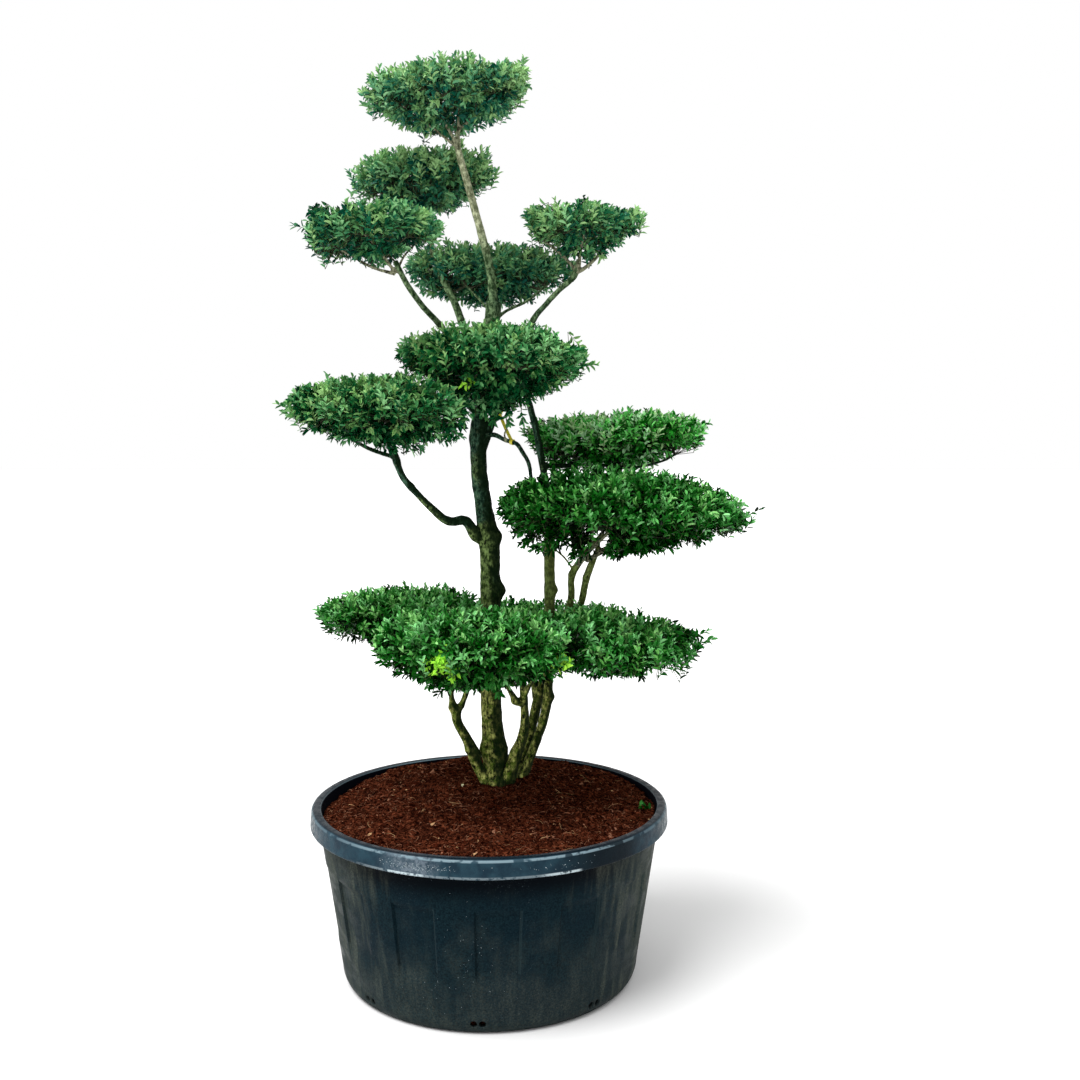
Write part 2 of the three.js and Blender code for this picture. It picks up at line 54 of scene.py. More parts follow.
# Wood in millimetres: a limb's route and its radius at each point of the route
LIMBS = {
    "trunk": (
        [[20, 90, 452], [9, 88, 570], [0, 86, 733], [0, 84, 971], [-4, 84, 1120],
         [-25, 83, 1273], [-32, 80, 1406], [-22, 78, 1512], [-2, 75, 1630], [12, 71, 1768]],
        [29, 29, 27.5, 27, 27, 21.5, 21.5, 20, 19.5, 21]),
    "leader": (
        [[11, 71, 1735], [4, 68, 1840], [-10, 66, 1904], [-45, 58, 2034], [-80, 45, 2165],
         [-78, 42, 2200]],
        [14, 11, 10.3, 9.8, 8.3, 5]),
    "stem_right": (
        [[72, 102, 452], [107, 110, 542], [149, 120, 668], [158, 124, 861], [159, 130, 1105],
         [160, 132, 1200], [141, 130, 1331], [122, 122, 1433], [98, 104, 1530], [92, 96, 1565]],
        [18, 12.5, 12.5, 14, 15, 14, 9.5, 9, 8, 7]),
    "stem_back": (
        [[60, 112, 452], [95, 150, 548], [131, 168, 702], [168, 155, 834], [216, 110, 970],
         [219, 85, 1042], [245, 66, 1090], [300, 42, 1160]],
        [15, 13, 13.5, 12, 9.5, 9.5, 8.5, 6.5]),
    "stem_inner": (
        [[171, 153, 838], [215, 150, 900], [246, 128, 965], [254, 108, 1010], [262, 88, 1048],
         [292, 100, 1120]],
        [6, 10, 9.5, 9.3, 9.3, 7]),
    "stem_front": (
        [[36, 76, 452], [68, 55, 556], [90, 40, 634], [91, 20, 710], [84, -10, 790], [75, -50, 850]],
        [20, 15, 12.5, 10.5, 8.5, 7]),
    "stem_left": (
        [[8, 86, 452], [-31, 65, 515], [-58, 45, 594], [-88, 30, 658], [-91, 25, 700]],
        [20, 14.5, 13.5, 13, 12.5]),
    "fork_left_outer": (
        [[-91, 25, 690], [-102, 20, 722], [-104, 30, 770], [-140, 60, 850]], [8.5, 7, 6.5, 5.5]),
    "fork_left_inner": (
        [[-90, 25, 686], [-72, 28, 712], [-59, 25, 760], [-70, -20, 840]], [8, 7.2, 7, 5.5]),
    "bough_low_right": ([[156, 122, 770], [215, 90, 815], [310, 50, 860]], [10, 8.5, 7]),
    "bough_low_back": ([[122, 169, 690], [110, 230, 760], [90, 310, 830]], [9.5, 8.5, 7]),
    "bough_left": (
        [[-7, 84, 1130], [-42, 68, 1160], [-66, 54, 1193], [-108, 36, 1192], [-150, 18, 1227],
         [-182, 4, 1261], [-222, -12, 1310], [-243, -20, 1372], [-250, -26, 1412]],
        [15, 14, 12.5, 11, 10, 9, 8.5, 8.5, 7.5]),
    "bough_drooping": (
        [[-28, 80, 1412], [9, 60, 1420], [44, 32, 1405], [72, 12, 1396], [88, 0, 1374],
         [104, -10, 1345], [112, -16, 1285]],
        [8, 6, 5.5, 5.5, 5.3, 5.2, 5]),
    "bough_upper_right": (
        [[-24, 79, 1378], [8, 86, 1460], [56, 92, 1535], [98, 90, 1600], [112, 86, 1717],
         [149, 85, 1764], [181, 85, 1798], [223, 85, 1838], [236, 85, 1880]],
        [13, 11, 10, 9, 8, 7.5, 7.4, 7.5, 7]),
    "bough_upper_left": (
        [[-22, 78, 1520], [-71, 40, 1620], [-119, 0, 1694], [-167, -42, 1747], [-200, -72, 1794],
         [-228, -92, 1850]],
        [12, 9.5, 8, 7.2, 7, 7]),
    "bough_upper_back": (
        [[-8, 76, 1590], [-48, 98, 1658], [-73, 115, 1713], [-98, 135, 1778], [-149, 175, 1885],
         [-180, 205, 2030]],
        [13, 10.5, 9.5, 9.3, 9, 8]),
    "bough_middle_back": ([[-20, 78, 1525], [0, 150, 1530], [20, 290, 1565]], [10, 8, 7]),
    "bough_behind_left": ([[8, 72, 1738], [-32, 110, 1783], [-72, 150, 1828]], [5, 3.6, 3]),
    "bough_behind_right": (
        [[8, 73, 1718], [43, 95, 1747], [98, 125, 1777], [150, 160, 1822]], [7.5, 4.4, 3.7, 3]),
    "bough_right_back": (
        [[139, 129, 1338], [190, 160, 1336], [260, 190, 1345], [340, 215, 1372]], [7.5, 6.5, 6, 5.5]),
}

# How far the trunk flares at its foot, over which length, and its lobes: height, count and start
ROOT_FLARE = 20 * MM
ROOT_FLARE_LENGTH = 55 * MM
ROOT_LOBES = [(0.3, 4, 0.6), (0.15, 7, 0)]

# First forks inside the clouds, which the open undersides let one see
FORKS = {
    "top_left": ([[-84, 42, 2160], [-119, 30, 2186], [-146, 10, 2203], [-170, 0, 2216], [-215, -30, 2245]],
                 [3.6, 3.2, 2.9, 2.6, 2.4]),
    "top_tan": ([[-81, 43, 2158], [-92, 32, 2184], [-113, 15, 2216], [-133, -5, 2250], [-137, -30, 2272]],
                [4.4, 4.0, 3.5, 3, 2.5]),
    "top_right": ([[-79, 43, 2180], [-76, 42, 2203], [-57, 36, 2217], [-20, 26, 2245], [25, 12, 2272]],
                  [4.8, 4.2, 3.7, 3.2, 2.6]),
    "top_up": ([[-77, 42, 2196], [-77, 28, 2238], [-70, 8, 2275]], [3.6, 3.1, 2.5]),
    "top_back": ([[-80, 42, 2186], [-93, 90, 2224], [-110, 130, 2260]], [4, 3.4, 2.8]),
    "upper_left_out": ([[-228, -88, 1818], [-285, -95, 1834], [-344, -110, 1866], [-400, -118, 1895]],
                       [4.6, 3.5, 3, 2.5]),
    "upper_left_front": ([[-228, -90, 1822], [-263, -125, 1870], [-290, -180, 1900]], [4.4, 3.4, 2.6]),
    "upper_left_in": ([[-226, -87, 1822], [-206, -72, 1866], [-172, -62, 1905]], [3.8, 3, 2.5]),
    "upper_right_out": ([[232, 85, 1848], [248, 86, 1856], [297, 98, 1902], [340, 105, 1950]],
                        [5.5, 5, 4, 3]),
    "upper_right_in": ([[228, 86, 1852], [199, 95, 1886], [130, 110, 1945]], [4.5, 4, 3]),
    "upper_right_front": ([[235, 84, 1860], [240, 45, 1905], [250, 0, 1950]], [5, 4, 3]),
    "left_out": ([[-243, -21, 1362], [-259, -26, 1367], [-305, -45, 1384], [-355, -62, 1413],
                  [-410, -75, 1445]], [6, 5.5, 5, 4, 3]),
    "left_front": ([[-247, -24, 1385], [-245, -60, 1420], [-240, -120, 1455]], [6, 5, 3.5]),
    "left_in": ([[-246, -24, 1395], [-200, -30, 1430], [-140, -40, 1460]], [5.5, 4.5, 3.5]),
    "left_back": ([[-247, -22, 1390], [-270, 30, 1425], [-290, 70, 1455]], [5.5, 4.5, 3.5]),
    "right_back_under": ([[262, 190, 1345], [376, 188, 1330], [464, 182, 1347], [515, 178, 1372]],
                         [4.5, 4, 3.4, 2.6]),
    "right_outer": ([[256, 62, 1085], [300, 30, 1112], [400, -20, 1150], [500, -50, 1180],
                     [580, -60, 1205]], [6, 6, 5, 4, 3]),
    "right_left": ([[226, 82, 1052], [200, 50, 1092], [160, -10, 1130], [110, -60, 1165]],
                   [3, 2.6, 2.4, 2.2]),
    "right_front": ([[236, 72, 1075], [270, -40, 1130], [300, -130, 1170], [320, -190, 1200]],
                    [6, 5, 4, 3]),
    "right_far": ([[280, 96, 1100], [340, 90, 1130], [430, 70, 1165], [520, 40, 1200]], [6, 5, 4, 3]),
    "right_fan_a": ([[246, 68, 1088], [240, 10, 1118], [214, -50, 1160], [196, -110, 1215]], [6, 5, 4, 3]),
    "right_fan_b": ([[252, 64, 1092], [262, 0, 1128], [268, -70, 1172], [262, -130, 1225]],
                    [5.5, 4.5, 3.6, 2.8]),
    "right_fan_c": ([[244, 40, 1108], [228, -30, 1150], [238, -90, 1205]], [4.5, 3.6, 2.6]),
    "right_deep": ([[286, 98, 1110], [300, 130, 1150], [330, 150, 1200]], [5.5, 4.5, 3]),
    "middle_right": ([[10, 75, 1500], [70, 20, 1530], [150, -40, 1580], [200, -70, 1620]], [7, 5.5, 4, 3]),
    "middle_front": ([[-25, 75, 1480], [-20, 0, 1520], [-10, -90, 1570], [0, -160, 1620]], [7, 5.5, 4, 3]),
    "middle_left": ([[-30, 76, 1470], [-80, 20, 1520], [-130, -40, 1570], [-170, -70, 1610]],
                    [7, 5.5, 4, 3]),
    "droop_twig": ([[46, 30, 1403], [40, 24, 1418], [47, 15, 1440], [44, 8, 1470]], [3, 2.6, 2.3, 2]),
    "front_left": ([[88, 16, 706], [70, 12, 718], [38, -14, 772], [-20, -70, 820], [-90, -130, 850]],
                   [9, 8, 6.5, 4.8, 3]),
    "front_right": ([[90, 14, 725], [110, -20, 775], [130, -90, 830], [150, -160, 860]],
                    [6.5, 5.5, 4.5, 3]),
    "low_left_out": ([[-104, 32, 770], [-170, 90, 820], [-260, 150, 870], [-340, 170, 905]],
                     [5.5, 5, 4, 3]),
    "low_left_front": ([[-104, 28, 765], [-150, 0, 815], [-210, -40, 860]], [5, 4, 3]),
    "low_right_out": ([[215, 90, 815], [290, 20, 840], [380, -30, 860], [470, -40, 880]], [6, 5.5, 4.5, 3]),
}

# Forks with the tan bark of young wood
PALE_FORKS = (
    "top_left", "top_tan", "top_right", "top_up", "upper_left_out", "upper_left_front", "upper_left_in",
    "upper_right_out", "upper_right_in", "upper_right_front", "right_outer", "right_front", "right_far",
    "right_deep", "right_fan_a", "right_fan_b", "right_fan_c", "middle_front", "droop_twig")

# Clouds: the limbs and forks that carry each
CLOUDS = {
    "cloud_top": ["leader", "top_left", "top_tan", "top_right", "top_up", "top_back"],
    "cloud_upper_left": ["bough_upper_left", "upper_left_out", "upper_left_front", "upper_left_in"],
    "cloud_upper_back": ["bough_upper_back"],
    "cloud_behind_leader": ["bough_behind_left", "bough_behind_right"],
    "cloud_upper_right": ["bough_upper_right", "upper_right_out", "upper_right_in", "upper_right_front"],
    "cloud_middle": ["stem_right", "middle_right", "middle_front", "middle_left", "droop_twig"],
    "cloud_left": ["bough_left", "left_out", "left_front", "left_in", "left_back"],
    "cloud_middle_back": ["bough_middle_back"],
    "cloud_right": ["stem_back", "stem_inner", "bough_drooping", "right_outer", "right_left", "right_front",
                    "right_far", "right_deep", "right_fan_a", "right_fan_b", "right_fan_c"],
    "cloud_right_back": ["bough_right_back", "right_back_under"],
    "cloud_low_front": ["stem_front", "fork_left_inner", "front_left", "front_right"],
    "cloud_low_left": ["fork_left_outer", "low_left_out", "low_left_front"],
    "cloud_low_right": ["bough_low_right", "low_right_out"],
    "cloud_low_back": ["bough_low_back"],
}


def smooth_noise(places, size, seed=0):
    """Smooth numbers from -1 to 1 at places, with bumps about size across."""
    grid = np.asarray(places, float) / size
    cell = np.floor(grid).astype(np.int64)
    part = grid - cell
    part = part * part * (3 - 2 * part)
    total = np.zeros(len(grid))
    for corner in range(8):
        step = np.array([corner & 1, corner >> 1 & 1, corner >> 2 & 1])
        x, y, z = (cell + step).T
        mixed = (x * 73856093) ^ (y * 19349663) ^ (z * 83492791) ^ (seed * 26544357)
        mixed = (mixed ^ (mixed >> 13)) * 1274126177
        value = ((mixed ^ (mixed >> 16)) & 0xFFFF) / 32767.5 - 1
        total += value * np.prod(np.where(step, part, 1 - part), axis=1)
    return total


def unit(vectors):
    """The vectors at a length of one."""
    return vectors / np.maximum(np.linalg.norm(vectors, axis=-1, keepdims=True), 1e-12)


def eased(low, high, values):
    """A smooth rise from 0 at low to 1 at high."""
    part = np.clip((np.asarray(values, float) - low) / (high - low), 0, 1)
    return part * part * (3 - 2 * part)


def around(steps):
    """Evenly spaced angles of one whole turn."""
    return np.arange(steps) * 2 * math.pi / steps


def turned(radii, heights, angles):
    """Vertices at radii and heights, turned about the pot's axis."""
    return np.stack(np.broadcast_arrays(radii * np.cos(angles), radii * np.sin(angles), heights), -1)


def rings_round(route, radii, across, deep, sides):
    """Rings of vertices round the places of a route, or of many routes at once."""
    turn = around(sides)[:, None]
    spokes = np.cos(turn) * across[..., None, :] + np.sin(turn) * deep[..., None, :]
    return route[..., None, :] + radii[..., None] * spokes


def grid_quads(rows, columns):
    """Faces between closed rings of vertices that follow one another."""
    row = np.arange(rows - 1)[:, None] * columns
    lane = np.arange(columns)
    following = (lane + 1) % columns
    quads = np.stack([row + lane, row + following, row + columns + following, row + columns + lane], -1)
    return quads.reshape(-1, 4)


def end_caps(rows, columns):
    """Triangles from the first and last ring to the two vertices that come after all rings."""
    lane = np.arange(columns)
    following = (lane + 1) % columns
    last = (rows - 1) * columns
    pole = rows * columns
    return np.vstack([np.stack([following, lane, np.full(columns, pole)], 1),
                      np.stack([last + lane, last + following, np.full(columns, pole + 1)], 1)])


def copies(faces, count, size):
    """The faces of a small mesh, repeated for its copies of so many vertices each."""
    return (np.arange(count)[:, None, None] * size + faces).reshape(-1, faces.shape[1])


def passing(places, test):
    """The places that pass a test."""
    return places[np.array([test(place) for place in places], bool)]


def vertex_values(mesh, what):
    """Each vertex's place or normal."""
    values = np.zeros(len(mesh.vertices) * 3, np.float32)
    mesh.vertices.foreach_get(what, values)
    return values.reshape(-1, 3)


def apply_modifiers(piece):
    """Gives the piece the mesh that its modifiers make of it, and drops them."""
    bpy.context.view_layer.update()
    mesh = bpy.data.meshes.new_from_object(piece.evaluated_get(bpy.context.evaluated_depsgraph_get()))
    piece.modifiers.clear()
    piece.data = mesh
    return mesh


class Heap:
    """Many small meshes, gathered to become one object."""

    def __init__(self):
        self.places = []
        self.faces = {3: [], 4: []}
        self.kinds = {3: [], 4: []}
        self.size = 0

    def add(self, places, faces, *kinds):
        """Takes vertices, arrays of three or four corners, and the materials of each array's faces."""
        for number, corners in enumerate(faces):
            sides = corners.shape[1]
            kind = kinds[number] if number < len(kinds) else 0
            self.faces[sides].append(corners + self.size)
            self.kinds[sides].append(np.broadcast_to(kind, len(corners)))
        self.places.append(places)
        self.size += len(places)

    def build(self, name, materials, smooth=True):
        """Makes the object, linked to the scene."""
        faces = [np.concatenate(self.faces[sides]) for sides in (3, 4) if self.faces[sides]]
        kinds = [np.concatenate(self.kinds[sides]) for sides in (3, 4) if self.kinds[sides]]
        counts = np.concatenate([np.full(len(f), f.shape[1]) for f in faces])
        mesh = bpy.data.meshes.new(name)
        mesh.vertices.add(self.size)
        mesh.vertices.foreach_set("co", np.concatenate(self.places).astype(np.float32).ravel())
        mesh.loops.add(int(counts.sum()))
        mesh.loops.foreach_set("vertex_index", np.concatenate([f.ravel() for f in faces]).astype(np.int32))
        mesh.polygons.add(len(counts))
        starts = np.concatenate([[0], np.cumsum(counts)[:-1]])
        mesh.polygons.foreach_set("loop_start", starts.astype(np.int32))
        mesh.polygons.foreach_set("material_index", np.concatenate(kinds).astype(np.int32))
        mesh.polygons.foreach_set("use_smooth", np.full(len(counts), smooth))
        for look in materials:
            mesh.materials.append(look)
        mesh.update(calc_edges=True)
        mesh.validate()
        made = bpy.data.objects.new(name, mesh)
        bpy.context.scene.collection.objects.link(made)
        return made


def finish_piece(piece, slot, *nodes):
    """Says what the piece rides on and which nodes it stands for; slot, the finish it is given, is not used.
    """
    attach(piece, "root")
    if nodes:
        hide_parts(*nodes)
    return piece


# Materials

def plain_material(name, colour, roughness, **sockets):
    """A material of one colour, with other shader sockets by name."""
    made = bpy.data.materials.new(name)
    made.use_nodes = True
    shader = made.node_tree.nodes["Principled BSDF"]
    shader.inputs["Base Color"].default_value = (*colour, 1)
    shader.inputs["Roughness"].default_value = roughness
    for key, value in sockets.items():
        shader.inputs[key.replace("_", " ")].default_value = value
    return made


class Pattern:
    """A material whose colour, roughness and bump come from nodes, built up step by step."""

    def __init__(self, name, **sockets):
        self.material = plain_material(name, (0.5, 0.5, 0.5), 0.5, **sockets)
        self.tree = self.material.node_tree
        self.shader = self.tree.nodes["Principled BSDF"]
        self.place = self.node("TexCoord").outputs["Object"]

    def node(self, kind, inputs=None, **settings):
        """Adds a node, with values or links for its inputs."""
        made = self.tree.nodes.new("ShaderNode" + kind)
        for key, value in settings.items():
            setattr(made, key, value)
        for key, value in (inputs or {}).items():
            if isinstance(value, bpy.types.NodeSocket):
                self.tree.links.new(value, made.inputs[key])
            else:
                made.inputs[key].default_value = value
        return made

    def stretched(self, x, y, z):
        """Object coordinates, stretched along each axis."""
        return self.node("Mapping", {"Vector": self.place, "Scale": (x, y, z)}).outputs["Vector"]

    def noise(self, scale, detail=4.0, place=None, roughness=0.55):
        """Cloudy noise, as many features to a metre as scale says."""
        made = self.node("TexNoise", {"Vector": place or self.place, "Scale": scale, "Detail": detail,
                                      "Roughness": roughness})
        return made.outputs["Fac"]

    def ramp(self, factor, low, high, first=0.0, last=1.0):
        """A smooth step from first at low to last at high."""
        made = self.node("MapRange", {"Value": factor, "From Min": low, "From Max": high, "To Min": first,
                                      "To Max": last}, interpolation_type="SMOOTHSTEP")
        return made.outputs["Result"]

    def maths(self, operation, first, second):
        """A product, difference or the like of two numbers."""
        return self.node("Math", {0: first, 1: second}, operation=operation).outputs["Value"]

    def plus(self, first, second):
        """The sum of two numbers."""
        return self.maths("ADD", first, second)

    def times(self, first, *others):
        """The product of numbers."""
        for other in others:
            first = self.maths("MULTIPLY", first, other)
        return first

    def mix(self, factor, first, second):
        """A blend of two colours."""
        inputs = {"Factor": factor, 6: self.colour(first), 7: self.colour(second)}
        return self.node("Mix", inputs, data_type="RGBA").outputs[2]

    @staticmethod
    def colour(value):
        """A link as it is, or a plain colour with its alpha."""
        return value if isinstance(value, bpy.types.NodeSocket) else (*value, 1)

    def axis(self, letter, vector=None):
        """One part of a vector, which is the object coordinates unless another is given."""
        return self.node("SeparateXYZ", {"Vector": vector or self.place}).outputs[letter]

    def finish(self, colour, roughness, relief=None, depth=0.001, strength=1.0):
        """Feeds the shader, with an optional bump of a given depth."""
        self.tree.links.new(colour, self.shader.inputs["Base Color"])
        if isinstance(roughness, bpy.types.NodeSocket):
            self.tree.links.new(roughness, self.shader.inputs["Roughness"])
        else:
            self.shader.inputs["Roughness"].default_value = roughness
        if relief is not None:
            bump = self.node("Bump", {"Height": relief, "Distance": depth, "Strength": strength})
            self.tree.links.new(bump.outputs["Normal"], self.shader.inputs["Normal"])
        return self.material


def bark_material():
    """Bark with an upright grain: mossy and olive low down, grey above the first bough, tan on top, and
    painted shade on its right side.
    """
    look = Pattern("bark", Specular_IOR_Level=0.04)
    height = look.axis("Z")
    patches = look.noise(24, 5)
    grain = look.noise(1, 8, look.stretched(170, 170, 60), 0.72)
    ground = bark_ground(look, height, grain)
    flecks = look.noise(1, 5, look.stretched(330, 330, 190), 0.65)
    worn = look.times(look.ramp(flecks, 0.56, 0.68), look.ramp(patches, 0.42, 0.56), 0.5)
    pale = look.mix(worn, ground, (0.36, 0.38, 0.22))
    mossy = bark_moss(look, height, pale)
    # Painted shade: the bark darkens where it faces right, away from the light.
    to_right = look.axis("X", look.node("NewGeometry").outputs["Normal"])
    patchy_right = look.plus(to_right, look.ramp(patches, 0.3, 0.7, -0.35, 0.35))
    painted_shade_on_right = look.times(look.ramp(patchy_right, -0.30, 0.34, 0, 0.92), look.ramp(height, 1.9, 1.5, 0.45))
    shaded = look.mix(painted_shade_on_right, mossy, (0.0022, 0.0095, 0.0024))
    sunny = bark_sunny(look, height, grain)
    lit = look.mix(sunny, shaded, (0.240, 0.290, 0.075))
    pits = look.ramp(look.noise(120, 3, look.stretched(1, 1, 0.6)), 0.34, 0.29)
    pitted = look.mix(pits, lit, (0.0015, 0.002, 0.001))
    relief = look.plus(grain, look.times(look.noise(95, 5), 0.8))
    return look.finish(pitted, look.ramp(patches, 0.3, 0.7, 0.72, 0.92), relief, 0.003, 0.9)


def bark_light(look, grain):
    """Where the bark is light, from its grain and from blotches."""
    blotches = look.noise(80, 5, roughness=0.65)
    return look.ramp(look.plus(look.times(grain, 0.55), look.times(blotches, 0.45)), 0.43, 0.62)


def bark_ground(look, height, grain):
    """The bark's own colours, which change with height."""
    light = bark_light(look, grain)
    wavering = look.plus(height, look.ramp(look.noise(9), 0.3, 0.7, -0.18, 0.18))
    higher = look.ramp(height, 0.70, 0.90)
    lit_olive = look.mix(higher, (0.560, 0.600, 0.165), (0.255, 0.365, 0.120))
    unlit_olive = look.mix(higher, (0.0022, 0.0060, 0.0003), (0.0085, 0.0200, 0.0042))
    olive = look.mix(light, unlit_olive, lit_olive)
    grey = look.mix(light, (0.0008, 0.0115, 0.0062), (0.072, 0.158, 0.096))
    green = look.mix(light, (0.015, 0.038, 0.012), (0.250, 0.375, 0.185))
    tan = look.mix(light, (0.160, 0.180, 0.095), (0.720, 0.750, 0.490))
    lower = look.mix(look.ramp(wavering, 1.10, 1.26), olive, grey)
    upper = look.mix(look.ramp(wavering, 1.48, 1.68), lower, green)
    return look.mix(look.ramp(height, 1.86, 1.98), upper, tan)


def bark_moss(look, height, ground):
    """Moss over the ground colours, thinner with height."""
    here = look.times(look.ramp(look.noise(70, 4), 0.46, 0.58), look.ramp(height, 1.3, 0.5), 0.75)
    grainy = look.ramp(look.noise(260, 4), 0.35, 0.65)
    return look.mix(here, ground, look.mix(grainy, (0.010, 0.032, 0.002), (0.105, 0.185, 0.014)))


def bark_sunny(look, height, grain):
    """Where the right-hand stems stand in the light."""
    right = look.times(look.ramp(look.axis("X"), 0.11, 0.14), look.ramp(height, 0.90, 0.98))
    below = look.ramp(height, 1.28, 1.16, 0, 0.5)
    return look.times(right, below, look.ramp(bark_light(look, grain), 0, 1, 0.5))


def branch_material():
    """Smooth tan bark of the young branches inside the open crowns."""
    look = Pattern("branch_bark", Specular_IOR_Level=0.05)
    streaks = look.noise(1, 5, look.stretched(170, 170, 90), 0.65)
    tan = look.mix(look.ramp(streaks, 0.36, 0.64), (0.040, 0.044, 0.026), (0.300, 0.305, 0.195))
    knots = look.ramp(look.noise(75, 3), 0.40, 0.34)
    return look.finish(look.mix(knots, tan, (0.020, 0.018, 0.010)), 0.85, streaks, 0.001, 0.7)


def twig_material():
    """Bark of the thin branches."""
    look = Pattern("twig_bark", Specular_IOR_Level=0.04)
    streaks = look.noise(140, 4, look.stretched(1, 1, 0.4))
    colour = look.mix(look.ramp(streaks, 0.3, 0.7), (0.013, 0.019, 0.011), (0.085, 0.094, 0.055))
    return look.finish(colour, 0.9, streaks, 0.0006, 0.6)


def pot_material(name, gloss, tint=None):
    """Black nursery plastic, greyed by weather, grimy towards its foot and sides, with painted shade under
    the lip and pale specks painted as wet glints.
    """
    look = Pattern(name, Specular_IOR_Level=gloss)
    height = look.axis("Z")
    side = look.maths("ABSOLUTE", look.axis("X"), 0)
    cloudy = look.noise(7, 5)
    streaks = look.noise(1, 5, look.stretched(42, 42, 2.6))
    mottle = look.ramp(look.noise(240, 6, roughness=0.75), 0.38, 0.62)
    clean = look.mix(mottle, (0.0006, 0.0040, 0.0066), (0.0052, 0.0165, 0.0215))
    base = look.mix(look.ramp(cloudy, 0.35, 0.65, 0, 0.5), clean, (0.0014, 0.0072, 0.0125))
    rain = look.times(look.ramp(streaks, 0.50, 0.72), look.ramp(cloudy, 0.38, 0.6), 0.35)
    dusty = look.mix(rain, base, (0.015, 0.026, 0.026))
    # Painted shade: the wall darkens just under the lip, less towards the sides.
    shade_under_lip = look.times(look.ramp(height, 0.325, 0.390), look.ramp(side, 0.42, 0.26), 0.95)
    shaded = look.mix(shade_under_lip, dusty, (0.0002, 0.0010, 0.0024))
    grimy = pot_grime(look, height, side, streaks)
    dirty = look.mix(grimy, shaded, (0.080, 0.089, 0.070))
    # Painted glints: pale specks of wet on the wall.
    painted_light_patches = look.times(look.ramp(look.noise(330, 4), 0.60, 0.72), look.ramp(cloudy, 0.45, 0.62), 0.35)
    spotted = look.mix(painted_light_patches, dirty, (0.07, 0.10, 0.11))
    toned = look.mix(0.35, spotted, tint) if tint else spotted
    wet = look.ramp(look.noise(11, 4, look.stretched(1, 1, 2)), 0.42, 0.62)
    roughness = look.plus(look.ramp(wet, 0, 1, 0.5, 0.25), look.times(grimy, 0.4))
    relief = look.plus(look.noise(700, 3), look.times(look.noise(90, 4), 0.7))
    return look.finish(toned, roughness, relief, 0.0004, 0.5)


def pot_grime(look, height, side, streaks):
    """Speckled grime that runs down the pot's sides and lies round its foot."""
    at_side = look.ramp(look.plus(side, look.ramp(streaks, 0.3, 0.7, -0.07, 0.07)), 0.22, 0.43)
    wavering = look.plus(height, look.ramp(look.noise(11, 5), 0.3, 0.7, -0.09, 0.09))
    at_foot = look.times(look.ramp(wavering, 0.30, -0.05), 0.45)
    runs = look.ramp(look.noise(1, 4, look.stretched(70, 70, 6)), 0.36, 0.62, 0.58, 0.95)
    speckle = look.ramp(look.noise(230, 6, roughness=0.7), 0.36, 0.66, 0.25, 0.9)
    return look.times(look.maths("MAXIMUM", at_side, at_foot), runs, speckle)


def lip_material():
    """The rolled lip: blue-black, painted shade on its right front and inner top, painted highlights on its
    wet top edge, wet patches and wet bead.
    """
    look = Pattern("pot_lip", Specular_IOR_Level=0.05)
    height = look.axis("Z")
    across = look.axis("X")
    side = look.maths("ABSOLUTE", across, 0)
    flat = look.stretched(1, 1, 0)
    radius = look.node("VectorMath", {0: flat}, operation="LENGTH").outputs["Value"]
    cloudy = look.ramp(look.noise(26, 5), 0.35, 0.65)
    base = look.mix(cloudy, (0.0070, 0.0190, 0.0300), (0.0135, 0.0360, 0.0510))
    dusty = look.mix(look.ramp(side, 0.40, 0.46, 0, 0.6), base, (0.034, 0.052, 0.058))
    unlit = look.times(look.ramp(across, 0.13, 0.27), look.ramp(across, 0.41, 0.33), 0.88)
    dim = look.mix(unlit, dusty, (0.0008, 0.0030, 0.0050))
    # Painted highlights: pale wet patches on the lip's left front.
    painted_light_patches = look.times(look.ramp(across, -0.26, -0.17), look.ramp(across, -0.08, -0.15),
                      look.ramp(look.noise(110, 6, roughness=0.75), 0.40, 0.60, 0.25, 0.95))
    with_painted_highlight = look.mix(painted_light_patches, dim, (0.095, 0.120, 0.145))
    # Painted shade over the inner part of the lip's top.
    inner = look.times(look.ramp(height, 0.4475, 0.4515), look.ramp(radius, 0.4640, 0.4610), 0.92)
    shaded = look.mix(inner, with_painted_highlight, (0.0016, 0.0050, 0.0085))
    ridged = look.mix(ridge_highlight(look, height, side, radius), shaded, (0.120, 0.172, 0.198))
    beaded = look.mix(bead_highlight(look, height, across), ridged, (0.42, 0.50, 0.53))
    relief = look.plus(look.noise(500, 3), look.noise(60, 4))
    return look.finish(beaded, look.ramp(look.noise(60, 4), 0.4, 0.6, 0.45, 0.22), relief, 0.0005, 0.5)


def ridge_highlight(look, height, side, radius):
    """Painted highlights: along the wet, broken ridge of the lip's top, and as the thin pale line on its
    inner edge.
    """
    ridge = look.times(look.ramp(height, 0.4460, 0.4478), look.ramp(height, 0.4528, 0.4512))
    broken = look.ramp(look.noise(34, 2), 0.42, 0.50, 0.10)
    outer = look.times(ridge, look.ramp(radius, 0.4620, 0.4640), broken)
    inner = look.times(look.ramp(radius, 0.4450, 0.4435), look.ramp(height, 0.4490, 0.4515), 0.8)
    return look.times(look.maths("MAXIMUM", outer, inner), look.ramp(side, 0.38, 0.22, 0.35))


def bead_highlight(look, height, across):
    """A painted highlight along the bead of water on the lip's lower edge, brightest in two stretches."""
    bead = look.times(look.ramp(height, 0.4065, 0.4085), look.ramp(height, 0.4155, 0.4125))
    left = look.times(look.ramp(across, -0.24, -0.21), look.ramp(across, -0.12, -0.145))
    right_end = look.ramp(across, 0.235, 0.220)
    right = look.times(look.ramp(across, 0.11, 0.17), right_end)
    middle = look.times(look.ramp(across, -0.33, -0.25, 0, 0.3), right_end)
    where = look.maths("MAXIMUM", look.maths("MAXIMUM", left, right), middle)
    return look.times(bead, where, look.ramp(look.noise(120, 5), 0.33, 0.52), 0.9)


